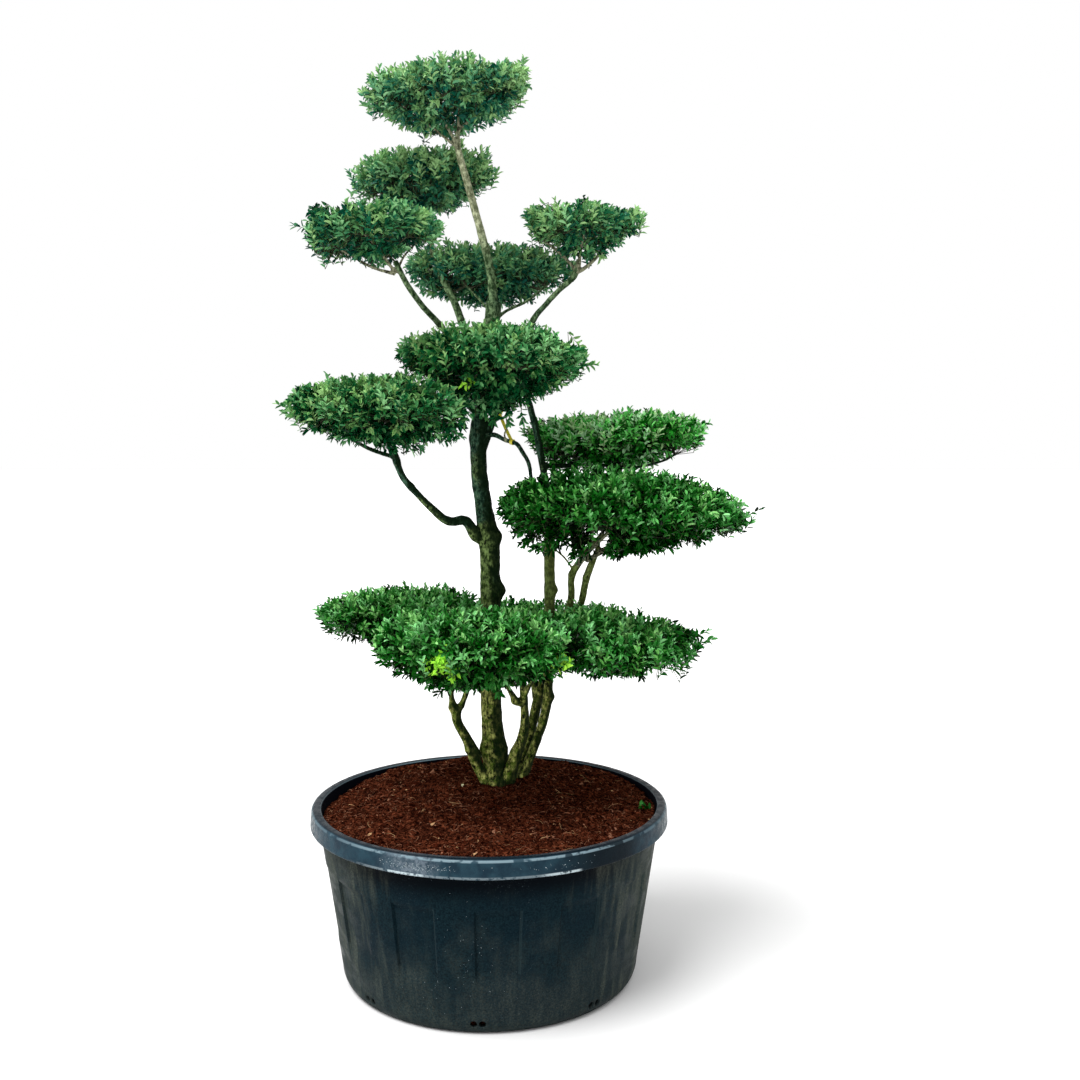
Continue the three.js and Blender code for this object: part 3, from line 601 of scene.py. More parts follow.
def soil_material():
    """Coarse red-brown fibre with dark pits, and soft darker patches of painted shade between the clumps."""
    look = Pattern("soil_fibre", Specular_IOR_Level=0.0)
    grains = look.noise(130, 8, roughness=0.78)
    patches = look.noise(16, 4)
    brown = look.mix(look.ramp(grains, 0.44, 0.62), (0.0020, 0.0002, 0.0001), (0.125, 0.033, 0.015))
    # Painted shade: soft darker patches for the crevices between clumps.
    painted_light_patches = look.mix(look.ramp(patches, 0.42, 0.62, 0, 0.65), brown, (0.008, 0.0022, 0.0014))
    return look.finish(painted_light_patches, 0.95, grains, 0.004, 1.0)


def strap_material():
    """Yellow plastic with a little grime."""
    look = Pattern("yellow_strap")
    grime = look.noise(220, 4)
    colour = look.mix(look.ramp(grime, 0.35, 0.7), (0.82, 0.74, 0.050), (0.56, 0.50, 0.040))
    return look.finish(colour, 0.45, grime, 0.0003, 0.4)


# Leaf colours from painted deep shade to fresh growth in painted light, greyer in the high clouds and richer
# in the low ones
HIGH_LEAF_COLOURS = [
    (0.0016, 0.061, 0.040), (0.004, 0.089, 0.056), (0.016, 0.133, 0.074), (0.048, 0.200, 0.092),
    (0.100, 0.285, 0.124), (0.172, 0.390, 0.168), (0.270, 0.505, 0.225)]
MIDDLE_LEAF_COLOURS = [
    (0.0002, 0.021, 0.0048), (0.0005, 0.048, 0.0120), (0.0040, 0.090, 0.0240), (0.0190, 0.142, 0.0350),
    (0.063, 0.217, 0.065), (0.136, 0.338, 0.114), (0.250, 0.485, 0.192)]
LOW_LEAF_COLOURS = [
    (0.0002, 0.0060, 0.0003), (0.0004, 0.018, 0.0006), (0.0014, 0.052, 0.0018), (0.0100, 0.112, 0.0095),
    (0.040, 0.205, 0.033), (0.102, 0.340, 0.080), (0.215, 0.510, 0.180)]
YELLOW_COLOUR = (0.380, 0.780, 0.070)
YELLOW_LEAF = len(LOW_LEAF_COLOURS)
FIRST_WARM = YELLOW_LEAF + 1
FIBRE_COLOURS = [
    (0.007, 0.0010, 0.0004), (0.036, 0.007, 0.003), (0.090, 0.026, 0.012), (0.190, 0.085, 0.050),
    (0.340, 0.200, 0.100)]


def leaf_looks(name, colours, warmth, roughness, refraction):
    """Plain materials of leaves: every step of colour cool, then yellow, then every step warm; cool is the
    bluish tint of painted shade, warm the olive of young growth and of painted light.
    """
    cool = [(red / warmth, green, blue * warmth) for red, green, blue in colours]
    warm = [(red * warmth, green, blue / warmth) for red, green, blue in colours]
    return [plain_material(f"{name}_leaf_{step}", colour, roughness, IOR=refraction)
            for step, colour in enumerate([*cool, YELLOW_COLOUR, *warm])]


def between(first, second):
    """The colours half-way between two lists of colours."""
    return [tuple((a + b) / 2 for a, b in zip(*pair)) for pair in zip(first, second)]


def scaled(colours, factor):
    """The colours made lighter by a factor, and none too light to be real."""
    return [tuple(min(factor * part, 0.60) for part in colour) for colour in colours]


high_leaf_looks = leaf_looks("high", HIGH_LEAF_COLOURS, 1.08, 0.3, 1.20)
upper_leaf_looks = leaf_looks("upper", between(HIGH_LEAF_COLOURS, MIDDLE_LEAF_COLOURS), 1.08, 0.3, 1.19)
middle_leaf_looks = leaf_looks("middle", MIDDLE_LEAF_COLOURS, 1.09, 0.3, 1.155)
low_leaf_looks = leaf_looks("low", LOW_LEAF_COLOURS, 1.07, 0.28, 1.13)
# Lighter copies of the low colours: painted light for low clouds that lie in the shade of others.
lighter_leaf_looks = leaf_looks("lighter", scaled(LOW_LEAF_COLOURS, 1.15), 1.09, 0.28, 1.13)
lightest_leaf_looks = leaf_looks("lightest", scaled(LOW_LEAF_COLOURS, 1.7), 1.06, 0.28, 1.15)
shoot_look = plain_material("green_shoot", (0.050, 0.090, 0.025), 0.8, Specular_IOR_Level=0.05)
fibre_looks = [plain_material(f"fibre_{step}", colour, 0.9, Specular_IOR_Level=0.0)
               for step, colour in enumerate(FIBRE_COLOURS)]


# Wood

def curve_through(points, step):
    """Places about step apart on a centripetal curve through points, and how many points lie behind each."""
    ends = np.vstack([2 * points[0] - points[1], points, 2 * points[-1] - points[-2]])
    places = []
    knots = []
    for first in range(len(points) - 1):
        before, start, end, after = ends[first:first + 4]
        lag = np.linalg.norm(start - before) ** 0.5
        span = np.linalg.norm(end - start) ** 0.5
        lead = np.linalg.norm(after - end) ** 0.5
        leaving = ((start - before) / lag - (end - before) / (lag + span) + (end - start) / span) * span
        arriving = ((end - start) / span - (after - start) / (span + lead) + (after - end) / lead) * span
        count = max(2, round(np.linalg.norm(end - start) / step))
        t = (np.arange(count) / count)[:, None]
        places.append((2 * t**3 - 3 * t**2 + 1) * start + (t**3 - 2 * t**2 + t) * leaving
                      + (3 * t**2 - 2 * t**3) * end + (t**3 - t**2) * arriving)
        knots.append(first + t[:, 0])
    return np.vstack([*places, points[-1:]]), np.concatenate([*knots, [len(points) - 1]])


def limb_line(points, radii, step=0.004):
    """A limb's centre-line and its radius along it, in metres."""
    places, knots = curve_through(np.array(points, float) * MM, step)
    first = np.minimum(knots.astype(int), len(radii) - 2)
    part = eased(0, 1, knots - first)
    radii = np.array(radii) * MM
    return places, radii[first] * (1 - part) + radii[first + 1] * part


def ring_frames(route):
    """Two directions square to a route at each of its places, which turn as little as they can."""
    ways = unit(np.gradient(route, axis=0))
    side = np.cross(ways[0], UP if abs(ways[0][2]) < 0.9 else np.array([1.0, 0, 0]))
    sides = []
    for way in ways:
        side = unit(side - way * (side @ way))
        sides.append(side)
    sides = np.array(sides)
    return sides, np.cross(ways, sides)


def tube(route, radii, sides):
    """Vertices and faces of a closed tube. Radii are one to a ring, or one to a ring and side."""
    rings = rings_round(route, radii.reshape(len(route), -1), *ring_frames(route), sides)
    places = np.vstack([rings.reshape(-1, 3), route[:1], route[-1:]])
    return places, [grid_quads(len(route), sides), end_caps(len(route), sides)]


lines = {name: limb_line(*limb) for name, limb in {**LIMBS, **FORKS}.items()}
wood_places = np.vstack([line[0] for line in lines.values()])
wood_radii = np.concatenate([line[1] for line in lines.values()])
wood_names = np.concatenate([[name] * len(line[0]) for name, line in lines.items()])
wood_tree = KDTree(len(wood_places))
for number, place in enumerate(wood_places):
    wood_tree.insert(place, number)
wood_tree.balance()

# Knots, stubs and root swellings in millimetres: place, breadth and how far each stands out
KNOTS = [
    ([31, 76, 1004], 21, 18), ([24, 78, 1150], 20, 13), ([-34, 66, 1150], 22, 7), ([176, 118, 1000], 13, 11),
    ([168, 116, 705], 13, 7), ([-62, 38, 575], 11, 6), ([-107, 22, 700], 12, 5), ([62, 14, 712], 13, 7),
    ([34, 70, 900], 14, 4), ([-26, 66, 760], 18, 4), ([14, 58, 640], 20, 4), ([-4, 58, 990], 15, 4),
    ([24, 62, 540], 26, 6), ([-72, 34, 692], 14, 5), ([-112, 22, 692], 11, 9), ([-27, 72, 570], 22, 11),
    ([46, 70, 571], 20, 11), ([-52, 66, 1410], 15, 5), ([10, 66, 1560], 16, 5), ([-108, 30, 1198], 10, 3),
    ([-200, 0, 1290], 10, 3), ([-236, -22, 1352], 13, 4), ([-6, 62, 1905], 10, 3), ([-40, 52, 2010], 9, 2.5),
    ([118, 80, 1722], 10, 3), ([222, 78, 1836], 11, 3.5), ([-78, 112, 1722], 11, 3),
    ([-122, -6, 1697], 9, 3), ([150, 112, 1330], 13, 4), ([212, 76, 1046], 11, 3.5),
    ([252, 84, 1036], 10, 3.5), ([98, 30, 640], 12, 3), ([36, 44, 490], 24, 9), ([-2, 56, 490], 22, 8),
    ([16, 50, 476], 16, 6)]
LIMB_SIDES = 16
BARK_THICKNESS = 0.4 * MM
BARK_VOXEL = 2.8 * MM
BARK_FACES_KEPT = 0.52
FULL_RELIEF_RADIUS = 20 * MM


def skinned_wood():
    """All limbs and first forks under one smooth skin."""
    heap = Heap()
    for name, (route, radii) in lines.items():
        radii = radii + BARK_THICKNESS
        if name == "trunk":
            travelled = np.concatenate([[0], np.cumsum(np.linalg.norm(np.diff(route, axis=0), axis=1))])
            lobes = 1
            for rise, count, start in ROOT_LOBES:
                lobes = lobes + rise * np.sin(count * around(LIMB_SIDES) + start)
            radii = radii[:, None] + ROOT_FLARE * np.exp(-travelled / ROOT_FLARE_LENGTH)[:, None] * lobes
        heap.add(*tube(route, radii, LIMB_SIDES))
    piece = heap.build("bark", [bark_material(), branch_material()])
    remesh = piece.modifiers.new("skin", "REMESH")
    remesh.mode = "VOXEL"
    remesh.voxel_size = BARK_VOXEL
    remesh.use_smooth_shade = True
    soften = piece.modifiers.new("soften", "SMOOTH")
    soften.iterations = 3
    soften.factor = 0.5
    apply_modifiers(piece)
    return piece


def bark_relief(places, thickness):
    """How far the bark stands out at places on limbs of a thickness: lumps, furrows and knots."""
    scale = np.clip(thickness / FULL_RELIEF_RADIUS, 0.25, 1.2)
    lumps = 1.7 * smooth_noise(places, 0.043, 1) + 1.0 * smooth_noise(places, 0.017, 2)
    furrows = 0.75 * smooth_noise(places * (1, 1, 0.3), 0.0075, 3) + 0.5 * smooth_noise(places, 0.0065, 4)
    out = (lumps + furrows) * scale * MM
    for centre, breadth, rise in KNOTS:
        distance = np.linalg.norm(places - np.array(centre) * MM, axis=1)
        out += rise * MM * np.exp(-(distance / (breadth * MM)) ** 2)
    return out


def make_bark():
    """One skin round all limbs and first forks, with the bark's relief."""
    piece = skinned_wood()
    mesh = piece.data
    places = vertex_values(mesh, "co").astype(float)
    nearest = np.array([wood_tree.find(place)[1] for place in places])
    kinds = np.isin(wood_names[nearest], PALE_FORKS).astype(np.int32)
    first_corners = np.array([polygon.vertices[0] for polygon in mesh.polygons])
    mesh.polygons.foreach_set("material_index", kinds[first_corners])
    places += vertex_values(mesh, "normal") * bark_relief(places, wood_radii[nearest])[:, None]
    mesh.vertices.foreach_set("co", places.astype(np.float32).ravel())
    mesh.update()
    piece.modifiers.new("fewer", "DECIMATE").ratio = BARK_FACES_KEPT
    apply_modifiers(piece)
    return finish_piece(piece, "bark", *LIMBS)


# Foliage

LEAF_LENGTH = 22.5 * MM
LEAF_TEMPLATE = np.array([
    [0, 0.02, 0], [0, 1.0, -0.14], [0.195, 0.34, 0.12], [0.17, 0.74, 0.05], [-0.195, 0.34, 0.12],
    [-0.17, 0.74, 0.05]])
LEAF_HALVES = np.array([[0, 2, 3, 1], [0, 1, 5, 4]])
LEAVES_PER_SHOOT = 11
GOLDEN_TURN = math.radians(137.5)

# Sizes of leaf along a shoot and from leaf to leaf, and how far a leaf curls
GROWN_AT = [0, 0.25, 0.75, 1.0]
GROWN = [0.72, 1.0, 1.0, 0.66]
LEAF_SIZES = (0.82, 1.16)
LEAF_CURLS = (0.4, 1.7)

# Degrees between leaf and shoot at the shoot's foot, how many fewer at its tip, and their spread
LEAF_SPREAD = (68, 44, 9)

# How far a shoot bends to the side and rises, and its stem
SHOOT_BEND = 0.10
SHOOT_RISE = (-0.02, 0.16)
STEM_RADII = np.linspace(1.0, 0.45, 4) * 0.001
STEM_SIDES = 3


class Part(NamedTuple):
    """How shoots stand on one part of a cloud's surface.

    That is their spacing, how much sparser they are in the high clouds, how far the tips stand inside the
    surface and clear of wood, the share of stray ones, and how far they turn up and outward.
    """
    layer: int
    spacing: float
    sparser: float
    inset: float
    clearance: float
    stray: float
    lift: float
    reach: float


TOP = Part(layer=0, spacing=0.0235, sparser=1.0, inset=0.010, clearance=0.008, stray=0.06,
           lift=0.75, reach=0.30)
SIDE = Part(layer=1, spacing=0.025, sparser=1.07, inset=0.012, clearance=0.014, stray=0.06,
            lift=0.35, reach=0.55)
UNDER = Part(layer=2, spacing=0.031, sparser=1.14, inset=0.013, clearance=0.020, stray=0.10,
             lift=-0.15, reach=0.75)

# How upright a normal is on the top and underside, which clouds are neighbours, and the gap kept from them
STEEP = 0.45
NEAR_CLOUD = 0.02
CLOUD_GAP = 0.006

# Raggedness of the surface in millimetres: soft waves, from shoot to shoot, its limits, and of stray shoots
WAVES = 9
UNEVENNESS = 4.5
RAGGED_LIMITS = (-18, 10)
STRAY_REACH = (5, 18)
SHOOT_LENGTHS = (0.042, 0.066)
OUT_OF_SURFACE = 0.55
WAY_SPREAD = 0.28

# Shoots inside: the depth and spacing of two layers
INNER = 3
INNER_LAYERS = [(0.042, 0.038), (0.070, 0.052)]
INNER_DEPTH_SPREAD = 0.012
INNER_SPARSER = 1.3
INNER_CLEARANCE = 0.014
INNER_SHOOT_LENGTHS = (0.038, 0.055)
INNER_LIFT = 0.12
INNER_WAY_SPREAD = 0.12

# Thin branches: the net's filler places, what a longer way and a shoot's foot cost it, and the twigs' radii
FILLERS = 1400
FILLER_DEPTH = 0.018
FILLER_SPACING = 0.03
COST_OF_WAY = 0.4
COST_OF_END = 0.04
TWIG_TIP_RADIUS = 0.0009
TWIG_THICKENING = 0.36
ROUNDED_TWIG_RADIUS = 0.0016
FIVE_SIDED_TWIG_RADIUS = 0.002
THICKEST_TWIG_RADIUS = 0.0055
TWIG_STEP = 0.014

# Where the crowns are open round their forks, in millimetres: place and reach
OPENINGS = [
    ([-75, 36, 2188], 44), ([-82, -46, 2196], 44), ([-228, -92, 1838], 36), ([235, 85, 1862], 44),
    ([-247, -24, 1376], 44), ([262, 10, 1110], 40), ([250, 20, 1080], 32), ([265, -80, 1149], 44),
    ([262, -150, 1155], 46), ([259, -220, 1161], 44), ([158, 40, 1128], 46), ([-18, 60, 1470], 50),
    ([86, 0, 770], 44), ([-88, 26, 752], 48), ([160, 110, 780], 40), ([200, 160, 1340], 26),
    ([490, 0, 792], 42)]

# Each cloud's zone, its leaves' materials, and how many steps lighter its leaves are painted for the light
# it gets (darker below 0)
CLOUD_LEAVES = {
    "cloud_top": ("high", high_leaf_looks, 1.2),
    "cloud_upper_back": ("high", high_leaf_looks, 1.35),
    "cloud_upper_left": ("high", upper_leaf_looks, 0.1),
    "cloud_upper_right": ("high", upper_leaf_looks, 1.2),
    "cloud_behind_leader": ("high", high_leaf_looks, 0.4),
    "cloud_middle": ("middle", middle_leaf_looks, 0.6),
    "cloud_middle_back": ("middle", middle_leaf_looks, 0),
    "cloud_left": ("middle", middle_leaf_looks, 0.2),
    "cloud_right": ("low", low_leaf_looks, -0.45),
    "cloud_right_back": ("low", lightest_leaf_looks, 0.9),
    "cloud_low_front": ("low", low_leaf_looks, 0.4),
    "cloud_low_left": ("low", low_leaf_looks, 0.3),
    "cloud_low_right": ("low", lighter_leaf_looks, 0.2),
    "cloud_low_back": ("low", low_leaf_looks, 0),
}
WARMER = {"high": 0.1, "middle": 0.0, "low": -0.4}

# Steps of colour: painted light on the tops and sides, painted shade on the undersides and inside, in soft
# patches, from shoot to shoot, along a shoot, from leaf to leaf, and of cool and warm shoots
LAYER_SHADES = [3.3, 3.1, 2.1, 0.5]
PATCH_SHADES = 1.15
SHOOT_SHADES = 1.2
ALONG_SHADES = 1.6
LEAF_SHADES = 0.9
COOL_SHADES = -0.2
WARM_SHADES = 0.5

# Sprays that stand out in colour, in millimetres: a place the camera sees them at, reach and leaf colour
ACCENTS = [
    # The first accent is painted shade, the darkest step in a deep hollow; the others are yellow and young
    # sprays.
    ([218, -60, 884], 32, 0), ([-107, -330, 857], 46, YELLOW_LEAF), ([183, -300, 856], 36, YELLOW_LEAF),
    ([-43, -255, 1535], 15, YELLOW_LEAF), ([-184, -230, 1412], 28, FIRST_WARM + 6),
    ([92, -4, 2350], 30, FIRST_WARM + 6), ([-312, 8, 2248], 24, FIRST_WARM + 6)]
ACCENT_DEPTH = 0.3

# Long shoots that stand out of the clouds, in millimetres: foot and tip
LONG_SHOOTS = {
    "cloud_top": [([-280, 20, 2270], [-322, 20, 2288]), ([-270, 10, 2236], [-316, 8, 2250]),
                  ([84, 0, 2328], [92, -4, 2358])],
    "cloud_upper_back": [([-320, 225, 2120], [-372, 225, 2102]), ([-60, 225, 2150], [-10, 225, 2178])],
    "cloud_upper_left": [([-430, -110, 1925], [-474, -112, 1930]), ([-150, -110, 1850], [-108, -110, 1812])],
    "cloud_upper_right": [([350, 85, 1960], [392, 85, 1990])],
    "cloud_middle": [([232, -50, 1590], [276, -50, 1598]), ([52, -42, 1492], [56, -50, 1440]),
                     ([24, -52, 1488], [20, -60, 1446]), ([84, -42, 1488], [92, -50, 1446])],
    "cloud_left": [([-470, -70, 1476], [-532, -70, 1490]), ([-462, -75, 1462], [-518, -75, 1470])],
    "cloud_right_back": [([560, 225, 1440], [604, 225, 1452]), ([540, 225, 1400], [576, 225, 1390])],
    "cloud_right": [([600, -60, 1192], [700, -60, 1218]), ([590, -60, 1205], [652, -60, 1236]),
                    ([600, -50, 1182], [650, -50, 1180]), ([70, -60, 1210], [32, -60, 1216])],
    "cloud_low_left": [([-400, 150, 930], [-470, 150, 952]), ([-398, 150, 920], [-470, 150, 922])],
    "cloud_low_right": [([520, 0, 866], [588, 0, 882]), ([515, 0, 878], [574, 0, 904])],
}

# Where a cloud's leaves stand out further or less far than its solid, in millimetres: place, breadth, rise
SWELLS = {
    "cloud_top": [([-31, 20, 2192], 45, -34), ([-174, 20, 2189], 40, -10), ([-296, 20, 2242], 60, 15),
                  ([-324, 20, 2301], 40, -8), ([108, 20, 2304], 40, 6), ([118, 10, 2350], 45, -24),
                  ([-242, 20, 2356], 50, 8), ([-25, 20, 2352], 60, -9)],
    "cloud_upper_back": [([-255, 225, 2199], 70, 10), ([-355, 225, 2076], 60, 15), ([2, 225, 2169], 60, 9)],
    "cloud_upper_left": [([-440, -110, 1891], 70, -26), ([-398, -110, 1855], 55, -22),
                         ([-436, -110, 1978], 62, -36), ([-255, -110, 1836], 40, 14)],
    "cloud_behind_leader": [([-205, 245, 1838], 60, 22), ([-61, 245, 1786], 50, -28),
                            ([-88, 245, 1950], 60, 6)],
    "cloud_upper_right": [([128, 85, 1931], 50, -12), ([286, 85, 1892], 40, -6)],
    "cloud_middle": [([217, -50, 1664], 50, -26), ([209, -50, 1558], 40, 8), ([-209, -50, 1659], 40, 16),
                     ([-222, -50, 1620], 40, 12)],
    "cloud_left": [([-215, -70, 1375], 45, 14), ([-65, -70, 1431], 50, 26)],
    "cloud_right_back": [([178, 225, 1346], 60, 16)],
    "cloud_right": [([38, -40, 1278], 70, 14), ([76, -40, 1175], 50, 30), ([128, -40, 1136], 45, 32),
                    ([190, -40, 1115], 40, 26), ([306, 110, 1140], 40, 22), ([306, -40, 1110], 45, 14),
                    ([653, -40, 1206], 50, -10)],
    "cloud_low_left": [([-333, 140, 991], 80, -8), ([-64, 140, 989], 50, 12), ([-368, 140, 850], 60, 28),
                       ([-417, 140, 881], 50, 8)],
    "cloud_low_front": [([-282, -140, 864], 60, 14), ([-225, -140, 823], 50, 14),
                        ([-119, -140, 777], 60, 28), ([150, -60, 950], 60, 18), ([225, -130, 935], 55, 24)],
    "cloud_low_right": [([516, 10, 832], 60, -24), ([494, 10, 800], 45, -24), ([255, -60, 935], 60, 24),
                        ([398, 10, 789], 50, 12), ([191, 10, 773], 50, 30), ([198, 0, 960], 60, 18),
                        ([283, 10, 968], 60, 10)],
}
SWELL_DEEP = 0.4


class Cloud:
    """A foliage mass of the frame, as a surface to measure against."""

    def __init__(self, name):
        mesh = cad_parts[name].data
        mesh.calc_loop_triangles()
        self.name = name
        self.zone, self.looks, self.painted_light_steps = CLOUD_LEAVES[name]
        self.vertices = np.array([v.co for v in mesh.vertices])
        self.triangles = np.array([t.vertices for t in mesh.loop_triangles])
        self.tree = BVHTree.FromPolygons(self.vertices.tolist(), self.triangles.tolist())
        self.low, self.high = self.vertices.min(0), self.vertices.max(0)

    def samples(self, spacing, rng):
        """Places on the surface, three to a square of the spacing, with the way out at each."""
        a, b, c = self.vertices[self.triangles].transpose(1, 0, 2)
        across = np.cross(b - a, c - a)
        area = np.linalg.norm(across, axis=1) / 2
        count = int(area.sum() / spacing**2 * 3)
        chosen = rng.choice(len(area), count, p=area / area.sum())
        u, v = rng.random((2, count, 1))
        u, v = np.where(u + v > 1, 1 - u, u), np.where(u + v > 1, 1 - v, v)
        places = a[chosen] + u * (b - a)[chosen] + v * (c - a)[chosen]
        return places, unit(across[chosen])

    def depth(self, place):
        """How deep a place lies inside the surface, below 0 outside."""
        near, way, _, distance = self.tree.find_nearest(place)
        outside = sum((place[axis] - near[axis]) * way[axis] for axis in range(3))
        return -distance if outside > 0 else distance

    def facing(self, place):
        """Where the way from the camera to a place meets the surface, or None far from it."""
        start = np.array(CAMERA_PLACE)
        met = self.tree.ray_cast(start, unit(place - start))[0]
        return None if met is None or math.dist(met, place) > ACCENT_DEPTH else np.array(met)


clouds = {name: Cloud(name) for name in CLOUDS}


def open_to_air(cloud, places, clearance):
    """Which places on a cloud's surface are clear of wood, openings and the other clouds."""
    others = [c for c in clouds.values() if c is not cloud and (c.low < cloud.high + NEAR_CLOUD).all()
              and (c.high > cloud.low - NEAR_CLOUD).all()]

    def is_clear(place):
        """Whether one place is clear."""
        _, nearest, distance = wood_tree.find(place)
        if distance < wood_radii[nearest] + clearance or in_opening(place):
            return False
        return all(other.tree.find_nearest(place, CLOUD_GAP)[0] is None for other in others)

    return np.array([is_clear(place) for place in places], bool)


def in_opening(place):
    """Whether a place lies where the crown is open."""
    return any(math.dist(place, np.array(centre) * MM) < reach * MM for centre, reach in OPENINGS)


def thinned(places, spacing):
    """One place in each cube of the spacing."""
    cubes = np.floor(places / spacing).astype(np.int64)
    _, first = np.unique(cubes, axis=0, return_index=True)
    return np.sort(first)


def swell(cloud, places):
    """How far the leaves stand out beyond the cloud's solid at places on its surface."""
    out = np.zeros(len(places))
    for centre, breadth, rise in SWELLS.get(cloud.name, []):
        away = (places / MM - centre) * (1, SWELL_DEEP, 1)
        out += rise * np.exp(-(away**2).sum(1) / breadth**2)
    return out * MM


class Shoots(NamedTuple):
    """Each shoot's tip, direction, length and layer."""
    tips: np.ndarray
    ways: np.ndarray
    lengths: np.ndarray
    layers: np.ndarray


def surface_shoots(cloud, part, rng):
    """The shoots of the cloud's top, sides or underside."""
    spacing = part.spacing * (part.sparser if cloud.zone == "high" else 1)
    places, normals = cloud.samples(spacing, rng)
    steep = normals[:, 2]
    here = [steep > STEEP, np.abs(steep) <= STEEP, steep < -STEEP][part.layer]
    places, normals = places[here], normals[here]
    kept = thinned(places, spacing)
    places, normals = places[kept], normals[kept]
    clear = open_to_air(cloud, places, part.clearance)
    places, normals = places[clear], normals[clear]
    count = len(places)
    ragged = WAVES * smooth_noise(places, 0.075, 5) + rng.normal(0, UNEVENNESS, count)
    stray = rng.random(count) < part.stray
    ragged = np.clip(ragged, *RAGGED_LIMITS) + np.where(stray, rng.uniform(*STRAY_REACH, count), 0)
    places = places + normals * (ragged * MM + swell(cloud, places) - part.inset)[:, None]
    outward = unit((places - (cloud.low + cloud.high) / 2) * (1, 1, 0))
    ways = normals * OUT_OF_SURFACE + UP * part.lift + outward * part.reach
    ways = unit(ways + rng.normal(0, WAY_SPREAD, places.shape))
    return Shoots(places, ways, rng.uniform(*SHOOT_LENGTHS, count), np.full(count, part.layer))


def inner_shoots(cloud, depth, spacing, rng):
    """The shoots of one layer inside the cloud."""
    def is_free(place):
        """Whether a place is deep inside, and clear of wood and openings."""
        if cloud.depth(place) <= 0.75 * depth:
            return False
        return wood_tree.find(place)[2] > INNER_CLEARANCE and not in_opening(place)

    spacing = spacing * (INNER_SPARSER if cloud.zone == "high" else 1)
    places, normals = cloud.samples(spacing, rng)
    spread = rng.uniform(-INNER_DEPTH_SPREAD, INNER_DEPTH_SPREAD, (len(places), 1))
    places = places - normals * (depth + spread)
    places = passing(places[thinned(places, spacing)], is_free)
    outward = (places - (cloud.low + cloud.high) / 2) * (1, 1, 1.5)
    ways = unit(outward + UP * INNER_LIFT + rng.normal(0, INNER_WAY_SPREAD, places.shape))
    lengths = rng.uniform(*INNER_SHOOT_LENGTHS, len(places))
    return Shoots(places, ways, lengths, np.full(len(places), INNER))


def long_shoot(foot, tip):
    """One shoot that stands out of its cloud."""
    foot, tip = np.array(foot) * MM, np.array(tip) * MM
    length = np.array([math.dist(foot, tip)])
    return Shoots(tip[None], unit(tip - foot)[None], length, np.array([SIDE.layer]))


def shoots_of(cloud, rng):
    """All shoots of a cloud."""
    groups = [surface_shoots(cloud, part, rng) for part in (TOP, SIDE, UNDER)]
    groups += [inner_shoots(cloud, depth, spacing, rng) for depth, spacing in INNER_LAYERS]
    groups += [long_shoot(*ends) for ends in LONG_SHOOTS.get(cloud.name, [])]
    return Shoots(*(np.concatenate(values) for values in zip(*groups)))


def branch_net(sources, ends, fillers):
    """Joins each end and filler to the net, where its way to a source is short."""
    count = len(sources)
    places = np.vstack([sources, fillers, ends])
    is_end = np.arange(len(places)) >= count + len(fillers)
    parent = np.full(len(places), -1)
    travelled = np.zeros(len(places))
    cost = np.full(len(places), np.inf)
    joined = np.zeros(len(places), bool)
    joined[:count] = True

    def offer(holder, extra):
        """Lets each free place choose a new holder if that costs less."""
        offered = np.linalg.norm(places - places[holder], axis=1) + extra
        better = (offered < cost) & ~joined
        cost[better] = offered[better]
        parent[better] = holder

    for source in range(count):
        offer(source, 0)
    order = []
    for _ in range(len(places) - count):
        new = int(np.argmin(np.where(joined, np.inf, cost)))
        joined[new] = True
        order.append(new)
        travelled[new] = travelled[parent[new]] + np.linalg.norm(places[new] - places[parent[new]])
        offer(new, COST_OF_WAY * travelled[new] + COST_OF_END * is_end[new])
    return places, parent, order, is_end


def twig_sources(name):
    """Places where twigs may begin: past the first third of a fork, or on the last fifth of a limb."""
    route, _ = lines[name]
    first = len(route) // 3 if name in FORKS else int(len(route) * 0.8)
    return route[first::4]


def filler_places(cloud, rng):
    """Places inside a cloud that twigs may pass through."""
    places = cloud.low + rng.random((FILLERS, 3)) * (cloud.high - cloud.low)
    places = passing(places, lambda place: cloud.depth(place) > FILLER_DEPTH)
    return places[thinned(places, FILLER_SPACING)]


def add_twig(route, thick, heap):
    """One twig, rounded where it is thick enough to show."""
    thick[0] = thick[1]
    if len(route) > 2 and thick[0] > ROUNDED_TWIG_RADIUS:
        count = len(route)
        route, knots = curve_through(route, TWIG_STEP)
        thick = np.interp(knots, np.arange(count), thick)
    sides = 5 if thick[0] > FIVE_SIDED_TWIG_RADIUS else 3
    heap.add(*tube(route, np.minimum(thick, THICKEST_TWIG_RADIUS), sides))


def twigs_of(cloud, ends, heap, rng):
    """Grows the thin branches of a cloud from its limbs to the foot of each shoot."""
    sources = np.vstack([twig_sources(name) for name in CLOUDS[cloud.name]])
    places, parent, order, is_end = branch_net(sources, ends, filler_places(cloud, rng))
    load = is_end.astype(float)
    for new in reversed(order):
        load[parent[new]] += load[new]
    main = np.full(len(places), -1)
    for new in order:
        holder = parent[new]
        if load[new] > 0 and (main[holder] < 0 or load[new] > load[main[holder]]):
            main[holder] = new
    inner = np.array([new for new in order if main[new] >= 0 and not is_end[new]])
    for _ in range(2):
        places[inner] = 0.5 * places[inner] + 0.25 * places[parent[inner]] + 0.25 * places[main[inner]]
    radius = TWIG_TIP_RADIUS * np.maximum(load, 1) ** TWIG_THICKENING
    for new in order:
        if load[new] > 0 and (parent[new] < len(sources) or main[parent[new]] != new):
            chain = [parent[new], new]
            while main[chain[-1]] >= 0:
                chain.append(main[chain[-1]])
            add_twig(places[chain], radius[chain], heap)


